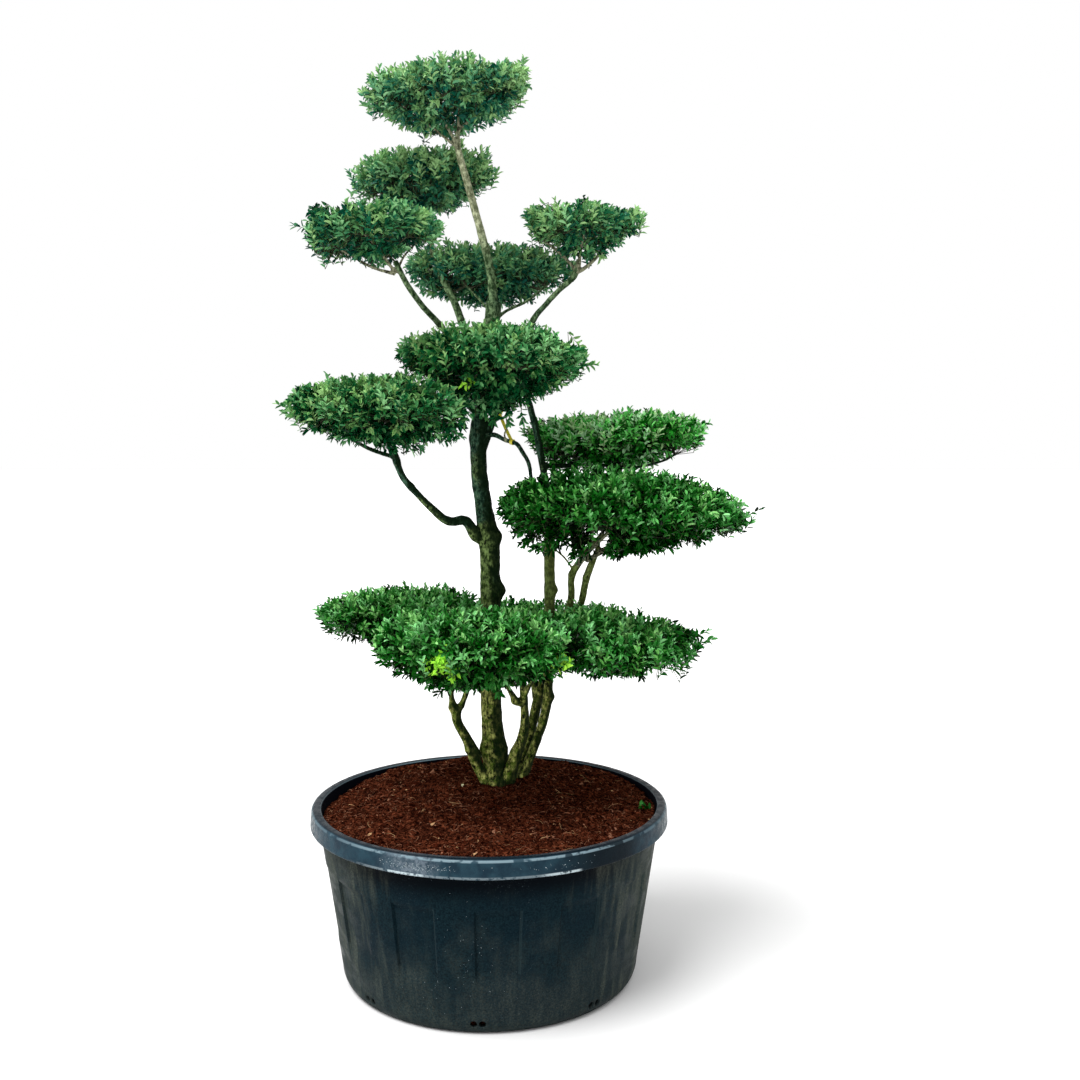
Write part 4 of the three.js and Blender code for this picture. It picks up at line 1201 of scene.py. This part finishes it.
def along(shoots, bend, shares):
    """Places and directions at shares of the shoots' lengths."""
    shares = shares[..., None]
    lengths = shoots.lengths[:, None, None]
    feet = shoots.tips - shoots.ways * shoots.lengths[:, None]
    places = feet[:, None] + shoots.ways[:, None] * lengths * shares
    places = places + bend[:, None] * lengths * shares**2
    return places, unit(shoots.ways[:, None] + 2 * bend[:, None] * shares)


def leaf_corners(place, way, across, deep, shares, rng):
    """The vertices of all leaves, set round their shoots in a spiral."""
    turn = rng.uniform(0, 2 * math.pi, (len(shares), 1)) + np.arange(LEAVES_PER_SHOOT) * GOLDEN_TURN
    turn = turn[..., None]
    at_foot, closer, uneven = LEAF_SPREAD
    spread = np.radians(at_foot - closer * shares + rng.normal(0, uneven, shares.shape))[..., None]
    out = np.cos(turn) * across[:, None] + np.sin(turn) * deep[:, None]
    length_way = unit(np.cos(spread) * way + np.sin(spread) * out)
    upper = way + 0.55 * UP + rng.normal(0, 0.22, length_way.shape)
    upper = unit(upper - length_way * (upper * length_way).sum(-1, keepdims=True))
    side = np.cross(length_way, upper)
    size = LEAF_LENGTH * np.interp(shares, GROWN_AT, GROWN) * rng.uniform(*LEAF_SIZES, shares.shape)
    curl = rng.uniform(*LEAF_CURLS, (*shares.shape, 1, 1))
    breadth, length, rise = (LEAF_TEMPLATE[:, axis:axis + 1] for axis in range(3))
    shape = breadth * side[:, :, None] + length * length_way[:, :, None] + curl * rise * upper[:, :, None]
    return (place[:, :, None] + size[..., None, None] * shape).reshape(-1, 3)


def leaf_shades(cloud, shoots, shares, rng):
    """The material of each leaf: painted light on the tops and higher up, painted shade below and inside,
    lighter to the shoot's young tip, in soft patches.
    """
    tips = shoots.tips
    height = (tips[:, 2] - cloud.low[2]) / (cloud.high[2] - cloud.low[2])
    level = np.choose(shoots.layers, LAYER_SHADES) + np.where(shoots.layers < UNDER.layer, height - 0.45, 0)
    level = level + cloud.painted_light_steps + PATCH_SHADES * smooth_noise(tips, 0.055, 7)
    level = level + rng.normal(0, SHOOT_SHADES, len(tips))
    level = level[:, None] + ALONG_SHADES * (shares - 0.55) + rng.normal(0, LEAF_SHADES, shares.shape)
    # Warm shoots, more often high in the cloud, are olive as young growth and as painted light; cool ones
    # bluish as painted shade.
    warmth = 0.8 * smooth_noise(tips, 0.045, 13) + rng.normal(0, 0.7, len(tips)) + height - 0.7
    warm = (warmth + WARMER[cloud.zone] > 0)[:, None]
    level = level + np.where(warm, WARM_SHADES, COOL_SHADES)
    shade = np.clip(np.round(level), 0, YELLOW_LEAF - 1).astype(int) + np.where(warm, FIRST_WARM, 0)
    for seen_at, reach, colour in ACCENTS:
        centre = cloud.facing(np.array(seen_at) * MM)
        if centre is not None:
            shade[np.linalg.norm(tips - centre, axis=1) < reach * MM] = colour
    return shade.ravel()


def add_sprays(cloud, shoots, leaf_heap, stem_heap, rng):
    """Leaves set round each shoot, dealt a colour by shoot, and the shoot's own green stem."""
    count = len(shoots.tips)
    across = unit(np.cross(shoots.ways, UP + 0.01))
    deep = np.cross(shoots.ways, across)
    bend = rng.normal(0, SHOOT_BEND, (count, 1)) * across + rng.uniform(*SHOOT_RISE, (count, 1)) * UP
    shares = (np.arange(LEAVES_PER_SHOOT) + 0.7) / (LEAVES_PER_SHOOT - 0.3)
    shares = np.clip(shares + rng.normal(0, 0.02, (count, LEAVES_PER_SHOOT)), 0.05, 1)
    corners = leaf_corners(*along(shoots, bend, shares), across, deep, shares, rng)
    shades = np.repeat(leaf_shades(cloud, shoots, shares, rng), len(LEAF_HALVES))
    leaf_heap.add(corners, [copies(LEAF_HALVES, count * LEAVES_PER_SHOOT, len(LEAF_TEMPLATE))], shades)
    rings = len(STEM_RADII)
    route, _ = along(shoots, bend, np.broadcast_to(np.linspace(0, 1, rings), (count, rings)))
    stems = rings_round(route, STEM_RADII[None, :, None], across[:, None], deep[:, None], STEM_SIDES)
    stem_faces = copies(grid_quads(rings, STEM_SIDES), count, rings * STEM_SIDES)
    stem_heap.add(stems.reshape(-1, 3), [stem_faces], 1)


def grow_cloud(cloud, seed):
    """Leaves and twigs of one cloud, as two pieces."""
    rng = np.random.default_rng(seed)
    shoots = shoots_of(cloud, rng)
    leaf_heap = Heap()
    twig_heap = Heap()
    add_sprays(cloud, shoots, leaf_heap, twig_heap, rng)
    twigs_of(cloud, shoots.tips - shoots.ways * shoots.lengths[:, None], twig_heap, rng)
    name = cloud.name.removeprefix("cloud_")
    leaves = leaf_heap.build("leaves_" + name, cloud.looks, smooth=False)
    finish_piece(leaves, "foliage", cloud.name)
    twigs = twig_heap.build("twigs_" + name, [twig_look, shoot_look])
    finish_piece(twigs, "bark")


# Pot

FOOT_RADIUS = 0.366
HEEL_RADIUS = 0.391
HEEL_HEIGHT = 0.040
SHOULDER_RADIUS = 0.447
LIP_UNDERSIDE = 0.407
RIM_RADIUS = 0.470
RIM_TOP = 0.455
RIM_INNER_RADIUS = 0.441
WALL_THICKNESS = 0.006
FLOOR_THICKNESS = 0.008
NECK_ROUND = 0.006
BEAD_ROUND = 0.004
CROWN_ROUND = 0.011
INNER_ROUND = 0.007

# Sunk panels, with angles in degrees
PANEL_COUNT = 13
PANEL_PITCH = 360 / PANEL_COUNT
FIRST_PANEL = -85.1
PANEL_HALF_ANGLE = 6.9
PANEL_SIDE_ANGLE = 0.62
PANEL_DEPTH = 0.006
PANEL_BOTTOM = 0.11
PANEL_BOTTOM_SLOPE = 0.05
PANEL_TOP = 0.318
PANEL_TOP_SLOPE = 0.006
PLAIN_COLUMN_ANGLE = 1.5
PANEL_SIDE_COLUMNS = (-0.8, -0.45, -0.1, 0.35, 0.7, 1.1)

# Drainage holes, with angles in degrees
DRAIN_PAIRS = 8
FIRST_DRAIN = -92
DRAIN_HALF_SPACING = 1.55
DRAIN_RADIUS = 0.0088
DRAIN_HEIGHT = 0.028


def arc(centre, radius, start, end, steps):
    """Points (radius, height) along an arc, angles in degrees."""
    turn = np.radians(np.linspace(start, end, steps))
    return [(centre[0] + radius * math.cos(t), centre[1] + radius * math.sin(t)) for t in turn]


def line_between(start, end, steps):
    """Points along a straight stretch, without its end."""
    start, end = np.array(start), np.array(end)
    return [tuple(start + (end - start) * step / steps) for step in range(steps)]


def pot_profile():
    """The pot's outline in (radius, height), from its underside round to its floor."""
    underside = [(FOOT_RADIUS * share, 0.0) for share in (0.3, 0.6, 0.9)]
    heel = [(FOOT_RADIUS + (HEEL_RADIUS - FOOT_RADIUS) * math.sin(t), HEEL_HEIGHT * (1 - math.cos(t)))
            for t in np.radians(np.linspace(0, 90, 9))]
    neck_height = LIP_UNDERSIDE - NECK_ROUND
    wall = line_between((HEEL_RADIUS, HEEL_HEIGHT), (SHOULDER_RADIUS - 0.002, neck_height), 44)[1:]
    neck = arc((SHOULDER_RADIUS + 0.004, neck_height), NECK_ROUND, 180, 90, 5)
    bead = arc((RIM_RADIUS - BEAD_ROUND, LIP_UNDERSIDE + BEAD_ROUND), BEAD_ROUND, -90, 0, 6)
    face = line_between((RIM_RADIUS, LIP_UNDERSIDE + 0.006), (RIM_RADIUS - 0.0025, RIM_TOP - 0.013), 6)
    crown = arc((RIM_RADIUS - 0.0135, RIM_TOP - CROWN_ROUND), CROWN_ROUND, 5, 90, 9)
    inner = arc((RIM_INNER_RADIUS + INNER_ROUND, RIM_TOP - INNER_ROUND), INNER_ROUND, 90, 180, 7)
    floor_edge = (HEEL_RADIUS - WALL_THICKNESS, HEEL_HEIGHT)
    inside = line_between((RIM_INNER_RADIUS, RIM_TOP - 0.008), floor_edge, 9)[1:]
    floor = [floor_edge, (FOOT_RADIUS, FLOOR_THICKNESS)]
    return underside + heel + wall + neck + bead + face + crown + inner + inside + floor


def pot_angles():
    """Angles of the pot's columns, close together at the sides of the panels."""
    offsets = list(np.arange(-PANEL_PITCH / 2, PANEL_PITCH / 2, PLAIN_COLUMN_ANGLE))
    for side in (-1, 1):
        offsets += [side * (PANEL_HALF_ANGLE + PANEL_SIDE_ANGLE * step) for step in PANEL_SIDE_COLUMNS]
    offsets = np.unique(np.round(offsets, 3))
    panels = [FIRST_PANEL + panel * PANEL_PITCH for panel in range(PANEL_COUNT)]
    return np.radians(np.array([panel + offset for panel in panels for offset in offsets]))


def panel_share(angles, heights):
    """How far the wall is sunk at each angle and height, from 0 to 1."""
    pitch = math.radians(PANEL_PITCH)
    from_middle = np.abs((angles - math.radians(FIRST_PANEL) + pitch / 2) % pitch - pitch / 2)
    edge = math.radians(PANEL_HALF_ANGLE)
    side = 1 - eased(edge, edge + math.radians(PANEL_SIDE_ANGLE), from_middle)
    from_bottom = eased(PANEL_BOTTOM, PANEL_BOTTOM + PANEL_BOTTOM_SLOPE, heights)
    return side * (from_bottom * (1 - eased(PANEL_TOP - PANEL_TOP_SLOPE, PANEL_TOP, heights)))


def pot_rings(profile, angles, outer):
    """The pot's vertices, its outside sunk at the panels and a little wavy."""
    radius = np.repeat(profile[:, :1], len(angles), 1)
    height = np.repeat(profile[:, 1:], len(angles), 1)
    radius = radius - PANEL_DEPTH * np.where(outer, panel_share(angles[None], height), 0)
    even = turned(radius, height, angles)
    wavy = 0.0007 * smooth_noise(even.reshape(-1, 3), 0.16, 9).reshape(height.shape)
    return turned(radius + wavy * (height > 0.05), height, angles)


def pot_kinds(profile, angles, outer):
    """The material of each of the pot's faces: wall, lip, the two sides of each panel, painted in shade and
    in light, and the inside.
    """
    height = profile[:-1, 1:]
    lip = (profile[:-1, 1] > LIP_UNDERSIDE) & (profile[:-1, 0] > RIM_INNER_RADIUS + 0.001)
    kinds = np.repeat(lip[:, None].astype(int), len(angles), 1)
    kinds[~outer[:-1, 0] & ~lip] = 4
    middles = angles + (np.roll(angles, -1) - angles) % (2 * math.pi) / 2
    from_panel = np.degrees((middles - math.radians(FIRST_PANEL)) % math.radians(PANEL_PITCH))
    beside_panel = outer[:-1] & (height < PANEL_TOP - 0.003) & (height > PANEL_BOTTOM + 0.04)
    slope_middle = PANEL_HALF_ANGLE + PANEL_SIDE_ANGLE / 2
    for kind, away in ((2, PANEL_PITCH - from_panel), (3, from_panel)):
        kinds[beside_panel & (np.abs(away - slope_middle) < PANEL_SIDE_ANGLE / 2)] = kind
    return kinds


def make_pot():
    """The pot as a turned skin with sunk panels and drilled drainage holes."""
    profile = np.array(pot_profile())
    angles = pot_angles()
    outer = (np.arange(len(profile)) < np.argmax(profile[:, 0]))[:, None]
    rings = pot_rings(profile, angles, outer)
    places = np.vstack([rings.reshape(-1, 3), [[0, 0, 0], [0, 0, FLOOR_THICKNESS]]])
    size = rings.shape[:2]
    heap = Heap()
    heap.add(places, [grid_quads(*size), end_caps(*size)], pot_kinds(profile, angles, outer).ravel())
    # Of each panel's two sides, the one at the lower angle gets painted shade and the other painted light.
    looks = [pot_material("pot_wall", 0.022), lip_material(),
             pot_material("pot_panel_shade", 0.01, (0.0006, 0.0022, 0.0034)),
             pot_material("pot_panel_light", 0.03, (0.017, 0.031, 0.034)),
             plain_material("pot_inside", (0.0010, 0.0018, 0.0050), 0.7, Specular_IOR_Level=0.02)]
    piece = heap.build("nursery_pot", looks)
    drill_drains(piece)
    return finish_piece(piece, "pot", "pot")


def drill_drains(piece):
    """Cuts the pairs of drainage holes through the heel."""
    bits = Heap()
    for pair in range(DRAIN_PAIRS):
        for side in (-1, 1):
            angle = math.radians(FIRST_DRAIN + pair * 360 / DRAIN_PAIRS + side * DRAIN_HALF_SPACING)
            way = np.array([math.cos(angle), math.sin(angle), 0])
            route = np.array([way * (HEEL_RADIUS - 0.04), way * (HEEL_RADIUS + 0.02)]) + UP * DRAIN_HEIGHT
            bits.add(*tube(route, np.full(2, DRAIN_RADIUS), 14))
    cutter = bits.build("drain_bits", [])
    cut = piece.modifiers.new("drains", "BOOLEAN")
    cut.operation = "DIFFERENCE"
    cut.object = cutter
    apply_modifiers(piece)
    bpy.data.objects.remove(cutter)


# Wet specks on the pot: angle and its spread in degrees, height and its spread in millimetres, and how many
SPECK_GROUPS = [(-109, 5, 428, 8, 190), (-90, 14, 428, 8, 60), (-66, 6, 424, 7, 45), (-92, 12, 230, 60, 34),
                (-104, 10, 130, 40, 26)]


DROP_SIDES = 6


def wall_radius(angle, height):
    """The radius of the pot's outside at an angle and height, on its wall or the lip's face."""
    if height > LIP_UNDERSIDE + 0.006:
        outside = RIM_RADIUS - 0.0012
    else:
        rise = (SHOULDER_RADIUS - HEEL_RADIUS) * (height - HEEL_HEIGHT) / (LIP_UNDERSIDE - HEEL_HEIGHT)
        outside = HEEL_RADIUS + rise
    return outside - (PANEL_DEPTH * float(panel_share(np.array([angle]), np.array([height]))[0]) + 0.0004)


def holds_drops(height):
    """Whether the pot's outside is even at a height, away from its heel and the lip's roundings."""
    return 0.05 < height < RIM_TOP - 0.016 and not LIP_UNDERSIDE - 0.012 < height < LIP_UNDERSIDE + 0.008


def make_drops():
    """Small drops of water that cling to the front of the pot, pale with a painted glint."""
    rng = np.random.default_rng(81)
    heap = Heap()
    ring = around(DROP_SIDES)[:, None]
    sides = grid_quads(2, DROP_SIDES)
    # The fan on the upper ring, to the only vertex after both rings
    lid = end_caps(2, DROP_SIDES)[DROP_SIDES:] - [0, 0, 1]
    for angle, breadth, height, depth, count in SPECK_GROUPS:
        for _ in range(count):
            z = (height + rng.normal(0, depth)) * MM
            if not holds_drops(z):
                continue
            turn = math.radians(angle + rng.normal(0, breadth))
            size = rng.uniform(0.4, 1.1 if z > LIP_UNDERSIDE else 0.7) * MM
            out = np.array([math.cos(turn), math.sin(turn), 0])
            side = np.array([-out[1], out[0], 0])
            centre = out * wall_radius(turn, z) + UP * z
            rim = centre + size * (np.cos(ring) * side + 1.15 * np.sin(ring) * UP)
            upper = centre + out * size * 0.55 + 0.6 * (rim - centre)
            heap.add(np.vstack([rim, upper, centre + out * size * 0.8]), [sides, lid])
    # Their pale colour is a painted glint.
    look = plain_material("water_drop", (0.22, 0.27, 0.29), 0.12)
    return finish_piece(heap.build("water_drops", [look]), "pot")


# Soil

SOIL_EDGE = 0.444
SOIL_LEVEL = 0.470

# Where the soil's edge dips or rises: angle and breadth in degrees, and depth
SOIL_DIPS = [(172, 24, 0.020), (4, 22, 0.009), (85, 45, -0.004)]

# The level patch round the stems, and a small heap of soil beside them
PATCH_CENTRE = (0.045, 0.095)
PATCH_RADIUS = 0.12
MOUND_POWER = 1.2
HEAP_CENTRE = (0.105, 0.110)
HEAP_BREADTH = 0.045
HEAP_RISE = 0.020
SOIL_COLUMNS = 350
SOIL_ROWS = 96
SOIL_BOTTOM = FLOOR_THICKNESS + 0.0004
FIBRE_COUNT = 6800
FIBRE_THICKNESS = np.array([0.5, 1, 0.9, 0.35])
FIBRE_SIDES = 3
LONG_FIBRE_SHARE = 0.003
CHIP_COUNT = 5600
CHIP_CORNERS = np.array([[1, 0, 0], [0, 1, 0], [-1, 0, 0], [0, -1, 0], [0, 0, 1], [0, 0, -1.0]])
CHIP_FACES = np.array([
    [0, 1, 4], [1, 2, 4], [2, 3, 4], [3, 0, 4], [1, 0, 5], [2, 1, 5], [3, 2, 5], [0, 3, 5]])

# Shares of the fibres and chips in each fibre colour
FIBRE_SHARES = [0.22, 0.34, 0.32, 0.11, 0.01]
CHIP_SHARES = [0.40, 0.30, 0.21, 0.08, 0.01]


def inner_radius(height):
    """The pot's inner face at a height."""
    rise = (height - HEEL_HEIGHT) / (RIM_TOP - 0.005 - HEEL_HEIGHT)
    return (HEEL_RADIUS - WALL_THICKNESS) * (1 - rise) + RIM_INNER_RADIUS * rise


def soil_height(x, y):
    """Height of the soil: level round the stems and falling to the pot."""
    from_patch = np.hypot(x - PATCH_CENTRE[0], y - PATCH_CENTRE[1])
    to_edge = np.maximum(0, RIM_INNER_RADIUS - np.hypot(x, y))
    share = np.clip(to_edge / (to_edge + np.maximum(0, from_patch - PATCH_RADIUS) + 1e-9), 0, 1)
    turn = np.degrees(np.arctan2(y, x))
    edge = np.full_like(turn, SOIL_EDGE)
    for middle, breadth, depth in SOIL_DIPS:
        away = (turn - middle + 180) % 360 - 180
        edge = edge - depth * np.exp(-(away / breadth) ** 2)
    height = edge + (SOIL_LEVEL - edge) * share**(MOUND_POWER * SOIL_EDGE / edge)
    flat = np.stack([x, y, np.zeros_like(x)], -1).reshape(-1, 3)
    uneven = 6.0 * smooth_noise(flat, 0.085, 21) + 3.6 * smooth_noise(flat, 0.030, 22)
    from_heap = np.hypot(x - HEAP_CENTRE[0], y - HEAP_CENTRE[1])
    return height + (uneven * MM).reshape(np.shape(x)) + HEAP_RISE * np.exp(-(from_heap / HEAP_BREADTH) ** 2)


def make_soil():
    """The soil's crumbly face, closed below inside the pot."""
    turn = around(SOIL_COLUMNS)
    edge = inner_radius(SOIL_EDGE - SOIL_DIPS[0][2]) - 0.0010
    reach = edge * np.linspace(0.004, 1, SOIL_ROWS) ** 0.85
    face = turned(reach[:, None], 0.0, turn)
    crumbs = (4.4 * np.abs(smooth_noise(face.reshape(-1, 3), 0.009, 23))
              + 2.4 * smooth_noise(face.reshape(-1, 3), 0.0048, 24))
    face[..., 2] = soil_height(face[..., 0], face[..., 1]) + (crumbs * MM).reshape(face.shape[:2])
    skirt_radii = np.array([[FOOT_RADIUS - 0.002], [inner_radius(HEEL_HEIGHT) - 0.0015]])
    skirt = turned(skirt_radii, np.array([[SOIL_BOTTOM], [HEEL_HEIGHT]]), turn)
    rings = np.vstack([skirt, face[::-1]])
    top = float(face[0, :, 2].mean())
    places = np.vstack([rings.reshape(-1, 3), [[0, 0, SOIL_BOTTOM], [0, 0, top]]])
    heap = Heap()
    heap.add(places, [grid_quads(*rings.shape[:2]), end_caps(*rings.shape[:2])])
    return finish_piece(heap.build("soil_mound", [soil_material()]), "soil", "soil")


def on_soil(count, rng, margin=0.008):
    """Random places on the soil, with their heights."""
    reach = (inner_radius(SOIL_EDGE) - margin) * np.sqrt(rng.random(count))
    turn = rng.uniform(0, 2 * math.pi, count)
    x, y = reach * np.cos(turn), reach * np.sin(turn)
    return np.stack([x, y, soil_height(x, y)], 1)


def laid_on_soil(line, arch):
    """The fibres' routes, drawn down to the soil and kept inside the pot."""
    ground = soil_height(line[..., 0], line[..., 1])
    line[..., 2] = np.maximum(line[..., 2], ground + 0.001) * 0.3 + 0.7 * (ground + 0.0025) + arch
    line[..., 2] = np.minimum(line[..., 2], ground + 0.012)
    reach = np.hypot(line[..., 0], line[..., 1])
    line[..., :2] *= np.minimum(1, (inner_radius(SOIL_EDGE) - 0.004) / reach)[..., None]
    return line


def make_fibres():
    """Loose coconut fibres, thin, curved and lying every way on the soil."""
    rng = np.random.default_rng(31)
    count = FIBRE_COUNT
    rings = len(FIBRE_THICKNESS)
    feet = on_soil(count, rng)
    length = rng.gamma(2.2, 4.6, count)[:, None] * MM + 0.006
    long_one = rng.random(count) < LONG_FIBRE_SHARE
    length[long_one] *= 3.2
    heading = rng.uniform(0, 2 * math.pi, (count, 1))
    way = unit(np.concatenate([np.cos(heading), np.sin(heading), rng.normal(0.05, 0.22, (count, 1))], 1))
    side = unit(np.cross(way, UP))
    curl = rng.normal(0, 0.8, (count, 1))
    share = np.linspace(-0.5, 0.5, rings)
    line = (feet[:, None] + way[:, None] * (length * share)[:, :, None]
            + side[:, None] * (curl * length * (share**2 - 0.1))[:, :, None])
    line = laid_on_soil(line, rng.uniform(-0.001, 0.006, (count, 1)) * (1 - 4 * share**2))
    thick = (rng.uniform(0.3, 1.0, (count, 1)) * MM) * FIBRE_THICKNESS[None]
    places = rings_round(line, thick[..., None], side[:, None], UP, FIBRE_SIDES)
    shades = rng.choice(len(FIBRE_COLOURS), count, p=FIBRE_SHARES)
    shades[long_one] = len(FIBRE_COLOURS) - 1
    one = grid_quads(rings, FIBRE_SIDES)[:, [0, 3, 2, 1]]
    heap = Heap()
    heap.add(places.reshape(-1, 3), [copies(one, count, rings * FIBRE_SIDES)], np.repeat(shades, len(one)))
    return finish_piece(heap.build("soil_fibres", fibre_looks), "soil")


def turned_by(first, second, angles):
    """Two parts of places, turned by an angle for each copy."""
    cosine, sine = np.cos(angles)[:, None], np.sin(angles)[:, None]
    return cosine * first - sine * second, sine * first + cosine * second


def make_chips():
    """Crumbs of husk and bark among the fibres."""
    rng = np.random.default_rng(32)
    count = CHIP_COUNT
    centre = on_soil(count, rng)
    size = rng.gamma(2.5, 0.65, (count, 1, 1)) * MM + 0.0009
    stretch = rng.uniform(0.4, 1.5, (count, 1, 3)) * (1.4, 1.0, 0.6)
    jitter = rng.normal(0, 0.18, (count, len(CHIP_CORNERS), 3))
    heading = rng.uniform(0, 2 * math.pi, count)
    tilt = rng.normal(0, 0.5, count)
    x, y, z = ((CHIP_CORNERS[None] + jitter) * stretch * size).transpose(2, 0, 1)
    x, z = turned_by(x, z, tilt)
    x, y = turned_by(x, y, heading)
    places = np.stack([x, y, z], -1) + centre[:, None] + UP * 0.002
    shades = np.repeat(rng.choice(len(FIBRE_COLOURS), count, p=CHIP_SHARES), len(CHIP_FACES))
    heap = Heap()
    heap.add(places.reshape(-1, 3), [copies(CHIP_FACES, count, len(CHIP_CORNERS))], shades)
    return finish_piece(heap.build("soil_chips", fibre_looks, smooth=False), "soil")


# Leaves on the soil: place, leaf colour and count, where more than one is a small weed
DRY_LEAF = len(low_leaf_looks)
FALLEN_LEAVES = [((-0.069, 0.045), DRY_LEAF, 1), ((0.408, -0.050), 2, 9), ((0.404, -0.040), 4, 3)]
FALLEN_LEAF_LENGTH = 0.019


def make_fallen_leaves():
    """The few leaves that lie on the soil, and a small weed by the rim."""
    heap = Heap()
    rng = np.random.default_rng(41)
    breadth, length, rise = (LEAF_TEMPLATE[:, axis:axis + 1] for axis in range(3))
    for place, colour, count in FALLEN_LEAVES:
        for _ in range(count):
            at = np.array(place) + rng.normal(0, 0.006, 2)
            foot = np.array([*at, float(soil_height(at[:1], at[1:])[0]) + 0.005])
            way = unit(np.array([*rng.normal(0, 1, 2), 0.9 if count > 1 else 0.15]))
            upper = unit(np.cross(np.cross(way, UP), way))
            side = np.cross(way, upper)
            shape = breadth * side + length * way + rise * upper
            heap.add(foot + FALLEN_LEAF_LENGTH * shape, [LEAF_HALVES], colour)
    looks = [*low_leaf_looks, plain_material("dry_leaf", (0.50, 0.48, 0.28), 0.7)]
    return finish_piece(heap.build("fallen_leaves", looks), "foliage")


# Yellow strap

TIE_TOP = np.array([22, 87, 1484]) * MM
TIE_FOOT = np.array([60, 21, 1402]) * MM
TIE_HALF_WIDTH = 4.2 * MM
TIE_HALF_THICKNESS = 0.7 * MM
TIE_SAG = 3 * MM
TIE_GAP = 1.6 * MM
TIE_TWIST = 50
TIE_STEPS = 14
LOOP_STEPS = 25


def add_strap(heap, route, flats):
    """A flat strap along a route, as wide as flats point."""
    outs = np.cross(unit(np.gradient(route, axis=0)), flats)
    corners = [(1, 1), (-1, 1), (-1, -1), (1, -1)]
    rings = np.stack([route + TIE_HALF_WIDTH * wide * flats + TIE_HALF_THICKNESS * thick * outs
                      for wide, thick in corners], 1)
    last = (len(route) - 1) * 4
    ends = np.array([[3, 2, 1, 0], [last, last + 1, last + 2, last + 3]])
    heap.add(rings.reshape(-1, 3), [np.vstack([grid_quads(len(route), 4), ends])])


def make_tie():
    """A flat strap, twisted a little, with a turn round the limb at each end."""
    heap = Heap()
    share = np.linspace(0, 1, TIE_STEPS)[:, None]
    route = TIE_TOP + (TIE_FOOT - TIE_TOP) * share - UP * TIE_SAG * (1 - (2 * share - 1) ** 2)
    way = unit(TIE_FOOT - TIE_TOP)
    flat = unit(np.cross(way, np.array([0.3, -1.0, 0.2])))
    twist = math.radians(TIE_TWIST) * share
    add_strap(heap, route, np.cos(twist) * flat + np.sin(twist) * np.cross(way, flat))
    for name, centre in (("bough_upper_right", TIE_TOP), ("bough_drooping", TIE_FOOT)):
        line, radii = lines[name]
        nearest = int(np.argmin(np.linalg.norm(line - centre, axis=1)))
        axis = unit(line[nearest + 1] - line[nearest - 1])
        across = unit(np.cross(axis, UP))
        deep = np.cross(axis, across)
        turn = np.linspace(0, 2 * math.pi, LOOP_STEPS)[:, None]
        loop = line[nearest] + (radii[nearest] + TIE_GAP) * (np.cos(turn) * across + np.sin(turn) * deep)
        add_strap(heap, loop, np.repeat(axis[None], LOOP_STEPS, 0))
    piece = heap.build("yellow_tie", [strap_material()], smooth=False)
    return finish_piece(piece, "tie", "tie")


# Stage, light and camera

FLOOR_HALF = 60
FLOOR_SHADE = 0.57
SUN_STRENGTH = 4.4
SUN_BREADTH = 38
SUN_WAY = (0.42, 0.30, -1.0)
ZENITH = 1.8


def place_in_scene(name, data):
    """Links new data to the scene as an object."""
    made = bpy.data.objects.new(name, data)
    bpy.context.scene.collection.objects.link(made)
    return made


def make_stage():
    """A plain pale floor under a bright, even sky, and one broad soft light from the left."""
    mesh = bpy.data.meshes.new("floor")
    corners = [(x * FLOOR_HALF, y * FLOOR_HALF, 0) for x, y in ((-1, -1), (1, -1), (1, 1), (-1, 1))]
    mesh.from_pydata(corners, [], [(0, 1, 2, 3)])
    mesh.materials.append(plain_material("pale_floor", (FLOOR_SHADE,) * 3, 0.9, Specular_IOR_Level=0.0))
    floor = place_in_scene("floor", mesh)
    make_sky()
    sun = bpy.data.lights.new("sun", "SUN")
    sun.energy = SUN_STRENGTH
    sun.angle = math.radians(SUN_BREADTH)
    made = place_in_scene("sun", sun)
    made.rotation_mode = "QUATERNION"
    made.rotation_quaternion = Vector(SUN_WAY).to_track_quat("-Z", "Y")


def make_sky():
    """A white sky that grows brighter overhead."""
    world = bpy.data.worlds.new("sky")
    world.use_nodes = True
    tree = world.node_tree
    place = tree.nodes.new("ShaderNodeTexCoord")
    split = tree.nodes.new("ShaderNodeSeparateXYZ")
    bright = tree.nodes.new("ShaderNodeMapRange")
    bright.inputs["From Min"].default_value = 0.4
    bright.inputs["From Max"].default_value = 0.95
    bright.inputs["To Min"].default_value = 1.0
    bright.inputs["To Max"].default_value = ZENITH
    tree.links.new(place.outputs["Generated"], split.inputs["Vector"])
    tree.links.new(split.outputs["Z"], bright.inputs["Value"])
    tree.nodes["Background"].inputs["Color"].default_value = (1, 1, 1, 1)
    tree.links.new(bright.outputs["Result"], tree.nodes["Background"].inputs["Strength"])
    bpy.context.scene.world = world


def make_camera():
    """The camera at the photograph's place and angle."""
    lens = bpy.data.cameras.new("camera")
    lens.lens = CAMERA_LENS
    lens.sensor_width = 36
    made = place_in_scene("camera", lens)
    made.location = CAMERA_PLACE
    made.rotation_euler = (math.radians(CAMERA_PITCH), 0, 0)
    bpy.context.scene.camera = made


make_camera()
twig_look = twig_material()
make_bark()
for number, cloud in enumerate(clouds.values()):
    grow_cloud(cloud, 101 + number)
make_pot()
make_drops()
make_soil()
make_fibres()
make_chips()
make_fallen_leaves()
make_tie()
make_stage()
bpy.context.scene.view_settings.view_transform = "Standard"
